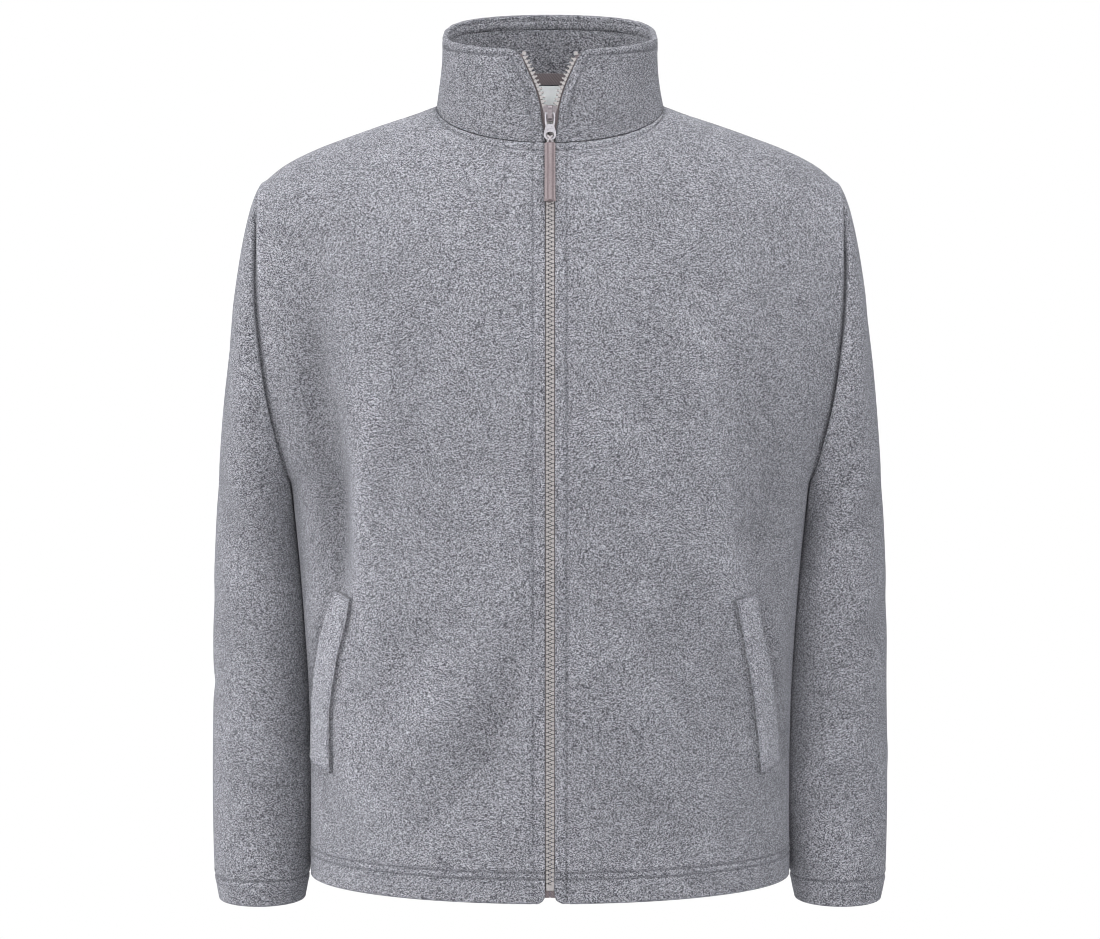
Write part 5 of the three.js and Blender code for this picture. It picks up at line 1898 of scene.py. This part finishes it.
@dataclass
class Zip:
    """The moulded zip: teeth, the tape that shows in the collar, slider, puller and tab."""

    pitch: float = 0.00385
    chain_depth: float = 0.0035
    open_depth: float = 0.0030
    bottom_z: float = -0.6815
    open_share: tuple[float, float] = (0.03, 0.93)
    chain_offset: float = 0.00015
    tooth_half_depth: float = 0.0013
    # A tooth's plan in millimetres: how far from the chain's middle, and its half height there.
    tooth_plan: tuple[tuple[float, float], ...] = (
        (3.80, 1.74),
        (1.95, 1.80),
        (1.62, 1.50),
        (1.15, 0.80),
        (0.45, 0.66),
        (-0.15, 0.98),
        (-0.52, 0.86),
        (-0.78, 0.42),
    )

    # How far through its depth each of a tooth's outlines lies, and how much smaller it is.
    tooth_levels: tuple[tuple[float, float], ...] = (
        (-1.0, 0.20),
        (-0.72, 0.04),
        (-0.2, 0.0),
        (0.35, 0.0),
        (0.8, 0.05),
        (1.0, 0.22),
    )

    def tooth(self, side: Side) -> bpy.types.Mesh:
        """Makes a tooth: X runs up the zip, Z outwards, and its body lies towards its own tape."""
        plan = np.array(self.tooth_plan) * MM
        across = np.concatenate([plan[:, 0], plan[::-1, 0]])
        along = np.concatenate([plan[:, 1], -plan[::-1, 1]])
        rings = []
        middle = 0.9 * MM
        for level, inset in self.tooth_levels:
            shrunk = middle + (across - middle) * (1 - inset * 0.45)
            depth = np.full(across.shape, level * self.tooth_half_depth)
            rings.append(stack(along * (1 - inset), -side * shrunk, depth))
        return lofted(rings)

    def route(self, side: Side) -> Route:
        """The line that one row of teeth follows, from its box to the collar's top corner."""
        low = TRUNK.chest_z - TRUNK.hem_z
        start = self.bottom_z + (self.pitch / 2 if side is Side.RIGHT else 0.0)
        first, last, step = (start - TRUNK.hem_z) / low, TRUNK.normal_top, 0.006
        heights = np.concatenate([np.arange(first, 1, step), np.arange(1, last, step)])
        edge = TRUNK.plain(Face.FRONT, np.zeros_like(heights), heights)
        out = unit(mirrored(TRUNK.outward(Face.FRONT, np.zeros_like(heights), heights), 0))
        closed = mirrored(edge - out * self.chain_depth, 0)
        shares = np.linspace(*self.open_share, 60)
        across = np.full_like(shares, float(side))
        point = COLLAR.point(across, shares)
        away = unit(mirrored(COLLAR.outward(across * 0.999, shares), 0))
        apart = COLLAR.opening.at("chain", COLLAR.front_z(shares)) - self.chain_offset
        opened = mirrored(point - away * self.open_depth, 0) + stack(apart * side, 0, 0)
        keep = closed[:, 2] < opened[0, 2] - 0.001
        points = np.concatenate([closed[keep], opened])
        return self.whole_pitches(points, np.concatenate([out[keep], away]))

    def whole_pitches(self, points: np.ndarray, outward: np.ndarray) -> Route:
        """Cuts a line to a whole number of pitches, so both rows of teeth stay half a pitch apart."""
        along = np.concatenate([[0.0], np.cumsum(np.linalg.norm(np.diff(points, axis=0), axis=-1))])
        length = math.floor(along[-1] / self.pitch) * self.pitch * 1.000001
        at = np.concatenate([along[along < length - 1e-5], [length]])
        place, out = (
            np.stack([np.interp(at, along, column) for column in grid.T], axis=-1)
            for grid in (points, outward)
        )
        return Route(place, unit(out))

    def teeth(self, repeats: RepeatAlong, finishes: Wardrobe) -> None:
        """Lays both rows of teeth."""
        for side in Side:
            line, tooth = [self.route(side)], self.tooth(side)
            row = repeats.lay(f"zip_teeth_{side.word}", line, tooth, finishes.teeth, self.pitch)
            settle(row, finishes.teeth, Slot.TEETH, nodes=(f"zip_chain_{side.word}",))

    def open_tape(self, finishes: Wardrobe) -> None:
        """Makes the tape that shows between the teeth and the collar's front edges."""
        shares = np.linspace(0.02, 0.955, 48)
        for side in Side:
            z = COLLAR.front_z(shares)
            near = COLLAR.opening.at("chain", z) + 0.0016
            far = np.maximum(COLLAR.opening.at("edge", z) + 0.0006, near + 0.0014)
            reach = np.linspace(0, 1, 6)[None, :]
            x = near[:, None] + (far - near)[:, None] * reach
            point = COLLAR.point(np.full_like(shares, float(side)), shares)
            away = unit(mirrored(COLLAR.outward(np.full_like(shares, side * 0.999), shares), 0))
            base = point - away * (self.open_depth + 0.0010)
            grid = np.broadcast_to(base[:, None], (*x.shape, 3)).copy()
            grid[..., 0] = x * side
            tape = cloth_shell(
                f"zip_tape_open_{side.word}",
                grid,
                np.full(x.shape, 0.0007),
                int(side),
                rounding=0.0003,
            )
            settle(tape, finishes.tape, Slot.TAPE)

    def tape_end(self, finishes: Wardrobe) -> None:
        """Makes the film that stiffens both tapes' lower ends, behind the box."""
        front_y = float(TRUNK.middle(Face.FRONT, np.array(TRUNK.hem_z)))
        width, low, high, depth = 4.1, -690.4, -596.0, 6.4
        outline = [(-width, high), (width, high), (width, low), (-width, low)]
        place = Matrix.Translation((0, front_y / MM + depth, 0)) @ FRONT_PLANE
        film = joined("zip_tape_end_film", [plate(outline, 0.5, 0.1, place=place)])
        settle(film, finishes.film, Slot.TAPE)

    def hardware(self, finishes: Wardrobe) -> None:
        """Makes the slider, the puller and the tab in place of the solids."""
        slider_z = -3.6
        share = (slider_z * MM - COLLAR.front_z(0.0)) / (COLLAR.front_z(1.0) - COLLAR.front_z(0.0))
        slider_y = float(COLLAR.plain(np.array(0.0), np.array(share))[1]) + 3 * MM
        leaned = Matrix.Rotation(-COLLAR.lean, 4, "X")
        place = Matrix.Translation((0, slider_y, slider_z * MM)) @ leaned
        slider = joined("zip_slider_detail", self.slider_parts(), place)
        settle(slider, finishes.metal, Slot.METAL, nodes=("zip_slider",))
        place = Matrix.Translation((0, -0.0741, -0.0034)) @ Matrix.Rotation(-0.12, 4, "X")
        puller = joined("zip_puller_detail", self.puller_parts(), place)
        settle(puller, finishes.puller, Slot.METAL, "puller", ("zip_puller",))
        place = Matrix.Translation((0, -0.076818, -0.025937)) @ Matrix.Rotation(-0.52, 4, "X")
        tab = joined("pull_tab_detail", self.tab_parts(), place)
        settle(tab, finishes.tab, Slot.TAB, "tab", ("pull_tab",))
        loops = joined("tab_cord_loops", self.loop_parts(), place)
        settle(loops, finishes.cord, Slot.TAB, "tab")

    def slider_parts(self) -> list[bpy.types.Mesh]:
        """The slider's two plates, the wedge between them and the bridge that holds the puller."""
        half, middle = 7.0, 2.35
        outline = rounded(both_sides([(2.4, half), (5.2, half - 0.7), (6.1, half - 2.2), (5.8, 1.6),
                                      (4.7, -2.6), (4.3, -5.6), (3.6, -half)]))
        front = plate(outline, 1.2, 0.34, place=Matrix.Translation((0, -middle, 0)) @ FRONT_PLANE)
        back = plate(outline, 1.2, 0.3, place=Matrix.Translation((0, middle, 0)) @ FRONT_PLANE)
        wedge = plate(np.array([(2.0, 6.7), (0.3, 2.6), (-0.3, 2.6), (-2.0, 6.7)]), 4.6, 0.1)
        outer = [(6.3, -2.7), (6.2, -5.0), (5.3, -6.4), (3.2, -6.8)]
        inner = [(4.3, -2.7), (4.1, -4.9), (3.4, -5.6)]
        arch = [*both_sides(outer), *both_sides(inner)[::-1]]
        bridge = plate(np.array(arch), 4.4, 0.45, place=SIDE_PLANE)
        return [front, back, wedge, bridge]

    def puller_parts(self) -> list[bpy.types.Mesh]:
        """The puller: two arms from a cross bar, and a ring with the tab's eye."""
        outline = rounded(both_sides([(3.6, 0.7), (4.5, -0.2), (4.6, -8.0), (3.9, -11.5), (4.9, -15.0),
                                      (5.6, -18.6), (4.9, -21.6), (2.6, -23.5)]))
        slot_side = [(-2.8, -0.9), (-2.8, -9.0), (-1.9, -9.6)]
        slot = rounded(both_sides(slot_side), 3)
        turn = np.linspace(0, 2 * np.pi, 33)[:-1]
        eye = np.stack([3.5 * np.cos(turn), -19.2 + 2.6 * np.sin(turn)], axis=-1)
        return [plate(outline, 1.4, 0.42, (slot[::-1], eye[::-1]))]

    def tab_parts(self) -> list[bpy.types.Mesh]:
        """The tab: a flat moulded strip with a round ridge down its middle."""
        turn = np.linspace(0, 2 * np.pi, 65)[:-1]
        rings = []
        for down, width, depth, ridge in (
            (3.5, 2.9, 0.4, 0.0),
            (3.8, 4.1, 0.4, 0.7),
            (4.7, 4.75, 0.45, 1.5),
            (6.0, 4.8, 0.45, 1.75),
            (32.0, 4.75, 0.45, 1.75),
            (58.4, 4.8, 0.45, 1.75),
            (59.4, 4.95, 0.7, 1.6),
            (60.2, 5.25, 0.9, 1.6),
            (62.0, 5.25, 0.9, 1.6),
            (62.5, 4.8, 0.6, 1.2),
        ):
            x = width * np.sign(np.cos(turn)) * np.abs(np.cos(turn)) ** 0.8
            tube = np.sqrt(np.clip(1 - ((x - 0.3) / 2.7) ** 2, 0, 1))
            y = depth * np.sin(turn) + ridge * np.sign(np.sin(turn)) * tube
            rings.append(stack(x, y, np.full(turn.shape, -down)) * MM)
        return [lofted(rings)]

    def loop_parts(self) -> list[bpy.types.Mesh]:
        """The two cord loops that cross through the puller's eye and hold the tab."""
        parts = []
        cord = 0.85
        around, tube = np.linspace(0, 2 * np.pi, 33)[:-1], np.linspace(0, 2 * np.pi, 11)[:-1]
        for way in (-1, 1):
            t, p = np.meshgrid(around, tube, indexing="ij")
            depth, height = 2.5 + cord * np.cos(p), 3.4 + cord * np.cos(p)
            loop = stack(cord * np.sin(p) + way * 0.3, depth * np.cos(t), height * np.sin(t))
            loop = loop.reshape(-1, 3) * MM
            index = np.arange(loop.shape[0]).reshape(32, 10)
            ring = np.concatenate([index, index[:1]])
            mesh = bpy.data.meshes.new("loop")
            mesh.from_pydata(loop.tolist(), [], grid_faces(ring, loop=True).tolist())
            mesh.transform(Matrix.Rotation(math.radians(way * 36), 4, "Y"))
            turn_out(mesh)
            parts.append(mesh)
        return parts

    def build(self, repeats: RepeatAlong, finishes: Wardrobe) -> None:
        """Builds the whole zip."""
        self.teeth(repeats, finishes)
        self.open_tape(finishes)
        self.tape_end(finishes)
        self.hardware(finishes)


@dataclass
class Studio:
    """The camera at the photograph's angle, soft light and a pale floor and backdrop."""

    distance: float = 2.6
    camera_z: float = -0.0867
    pitch: float = 5.2
    focal_pixels: float = 2866.0
    picture: tuple[int, int] = (1100, 939)
    sensor: float = 36.0
    floor_z: float = -1.46
    room_radius: float = 6.5

    def camera(self) -> None:
        """Makes the camera."""
        data = bpy.data.cameras.new("camera")
        data.sensor_width = self.sensor
        data.lens = self.focal_pixels * self.sensor / self.picture[0]
        data.clip_start, data.clip_end = 0.05, 60.0
        camera = linked("camera", data)
        camera.location = (0.0, -self.distance, self.camera_z)
        camera.rotation_euler = (math.radians(90 - self.pitch), 0.0, 0.0)
        bpy.context.scene.camera = camera

    def lamp(self, name: str, place, aim, size: tuple[float, float], watts: float) -> None:
        """Adds a soft box that faces a point."""
        data = bpy.data.lights.new(name, "AREA")
        data.shape = "RECTANGLE"
        data.size, data.size_y = size
        data.energy = watts
        lamp = linked(name, data)
        lamp.location = place
        lamp.rotation_euler = (Vector(aim) - Vector(place)).to_track_quat("-Z", "Y").to_euler()

    def room(self) -> None:
        """Makes a pale floor that curves up into a round wall."""
        profile = [(0.0, 0.0), (self.room_radius * 0.6, 0.0)]
        curve = self.room_radius * 0.4
        for step in range(1, 9):
            turn = math.pi / 2 * step / 8
            out = self.room_radius * 0.6 + curve * math.sin(turn)
            profile.append((out, curve * (1 - math.cos(turn))))
        profile.append((self.room_radius, 9.0))
        turns = np.linspace(0, 2 * np.pi, 49)[:-1]
        rings = np.array(
            [
                [(r * math.cos(t), r * math.sin(t), self.floor_z + z) for t in turns]
                for r, z in profile[1:]
            ]
        )
        index = np.arange(rings.shape[0] * rings.shape[1]).reshape(rings.shape[:2])
        centre = index.size
        faces = grid_faces(index, loop=True).tolist()
        faces += [[centre, int(index[0, i]), int(index[0, (i + 1) % 48])] for i in range(48)]
        points = np.concatenate([rings.reshape(-1, 3), [[0, 0, self.floor_z]]])
        floor = mesh_object("studio_floor", points, faces)
        finish = bpy.data.materials.new("lit_white_paper")
        finish.use_nodes = True
        tree = finish.node_tree
        tree.nodes.clear()
        paint = add_node(tree, "ShaderNodeEmission", {"Color": linear("#ffffff"), "Strength": 1.0})
        add_node(tree, "ShaderNodeOutputMaterial", {"Surface": paint.outputs[0]})
        floor.data.materials.append(finish)
        floor.visible_diffuse = False
        floor.visible_glossy = False
        floor.visible_shadow = False
        floor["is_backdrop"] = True

    def light(self) -> None:
        """Sets the world's fill and the soft boxes."""
        world = bpy.data.worlds.new("studio")
        bpy.context.scene.world = world
        world.use_nodes = True
        fill = world.node_tree.nodes["Background"].inputs
        fill["Color"].default_value = linear("#f6f8ff")
        fill["Strength"].default_value = 0.36
        aim = (0.0, 0.0, -0.32)
        for name, place, size, watts in (
            ("key_right", (2.0, -2.2, 1.0), (1.2, 1.8), 44.0),
            ("key_left", (-2.0, -2.1, 0.8), (1.2, 1.8), 44.0),
            ("front", (0.0, -3.0, 0.4), (2.0, 1.6), 23.0),
            ("top", (0.0, -0.5, 2.2), (2.0, 1.4), 46.0),
            ("side_left", (-2.7, 0.0, -0.3), (1.2, 2.0), 48.0),
            ("side_right", (2.7, 0.2, 0.3), (1.2, 2.2), 9.0),
            ("low", (0.0, -2.4, -1.25), (2.4, 0.8), 26.0),
            ("behind", (0.0, 3.0, 1.2), (2.4, 2.0), 45.0),
        ):
            self.lamp(name, place, aim, size, watts)
        bpy.context.scene.view_settings.view_transform = "Standard"
        bpy.context.scene.cycles.filter_width = 1.0

    def build(self) -> None:
        """Makes the whole studio."""
        self.room()
        self.light()


def dress_rigid_nodes(finishes: Wardrobe) -> None:
    """Gives the CAD nodes that stay shown their finishes."""
    for finish, names in (
        (finishes.tape, ("zip_tape_right", "zip_tape_left", "neck_tape")),
        (finishes.label, ("neck_label",)),
        (finishes.teeth, ("zip_top_stop_right", "zip_top_stop_left", "zip_box")),
    ):
        for name in names:
            finish.dress(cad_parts[name])


def write_sizes(cad_box: tuple[Vector, Vector]) -> None:
    """Works out the solids' box and the dressed jacket's box, and keeps neither."""
    boxes = {"cad": cad_box, "visual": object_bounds()}
    {name: [list(corner) for corner in box] for name, box in boxes.items()}


def main() -> None:
    """Builds the jacket's pieces in order and reports each one."""
    logging.basicConfig(level=logging.INFO, format="%(name)s: %(message)s")
    cad_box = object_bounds()
    studio = Studio()
    studio.camera()
    finishes = Wardrobe()
    repeats, thread = RepeatAlong(), SewingThread()
    panels, sleeves, collar, welts = TrunkPanels(), Sleeves(), StandCollar(), PocketWelts()
    panels.build(finishes)
    sleeves.build(finishes)
    collar.build(finishes)
    welts.build(panels, finishes)
    for name, routes in (
        ("stitches_trunk", panels.routes()),
        ("stitches_cuffs", sleeves.routes()),
        ("stitches_collar", collar.sewn),
        ("stitches_welts", welts.sewn),
    ):
        thread.sew(repeats, name, routes, finishes)
    Zip().build(repeats, finishes)
    dress_rigid_nodes(finishes)
    studio.build()
    write_sizes(cad_box)


if __name__ == "__main__":
    main()
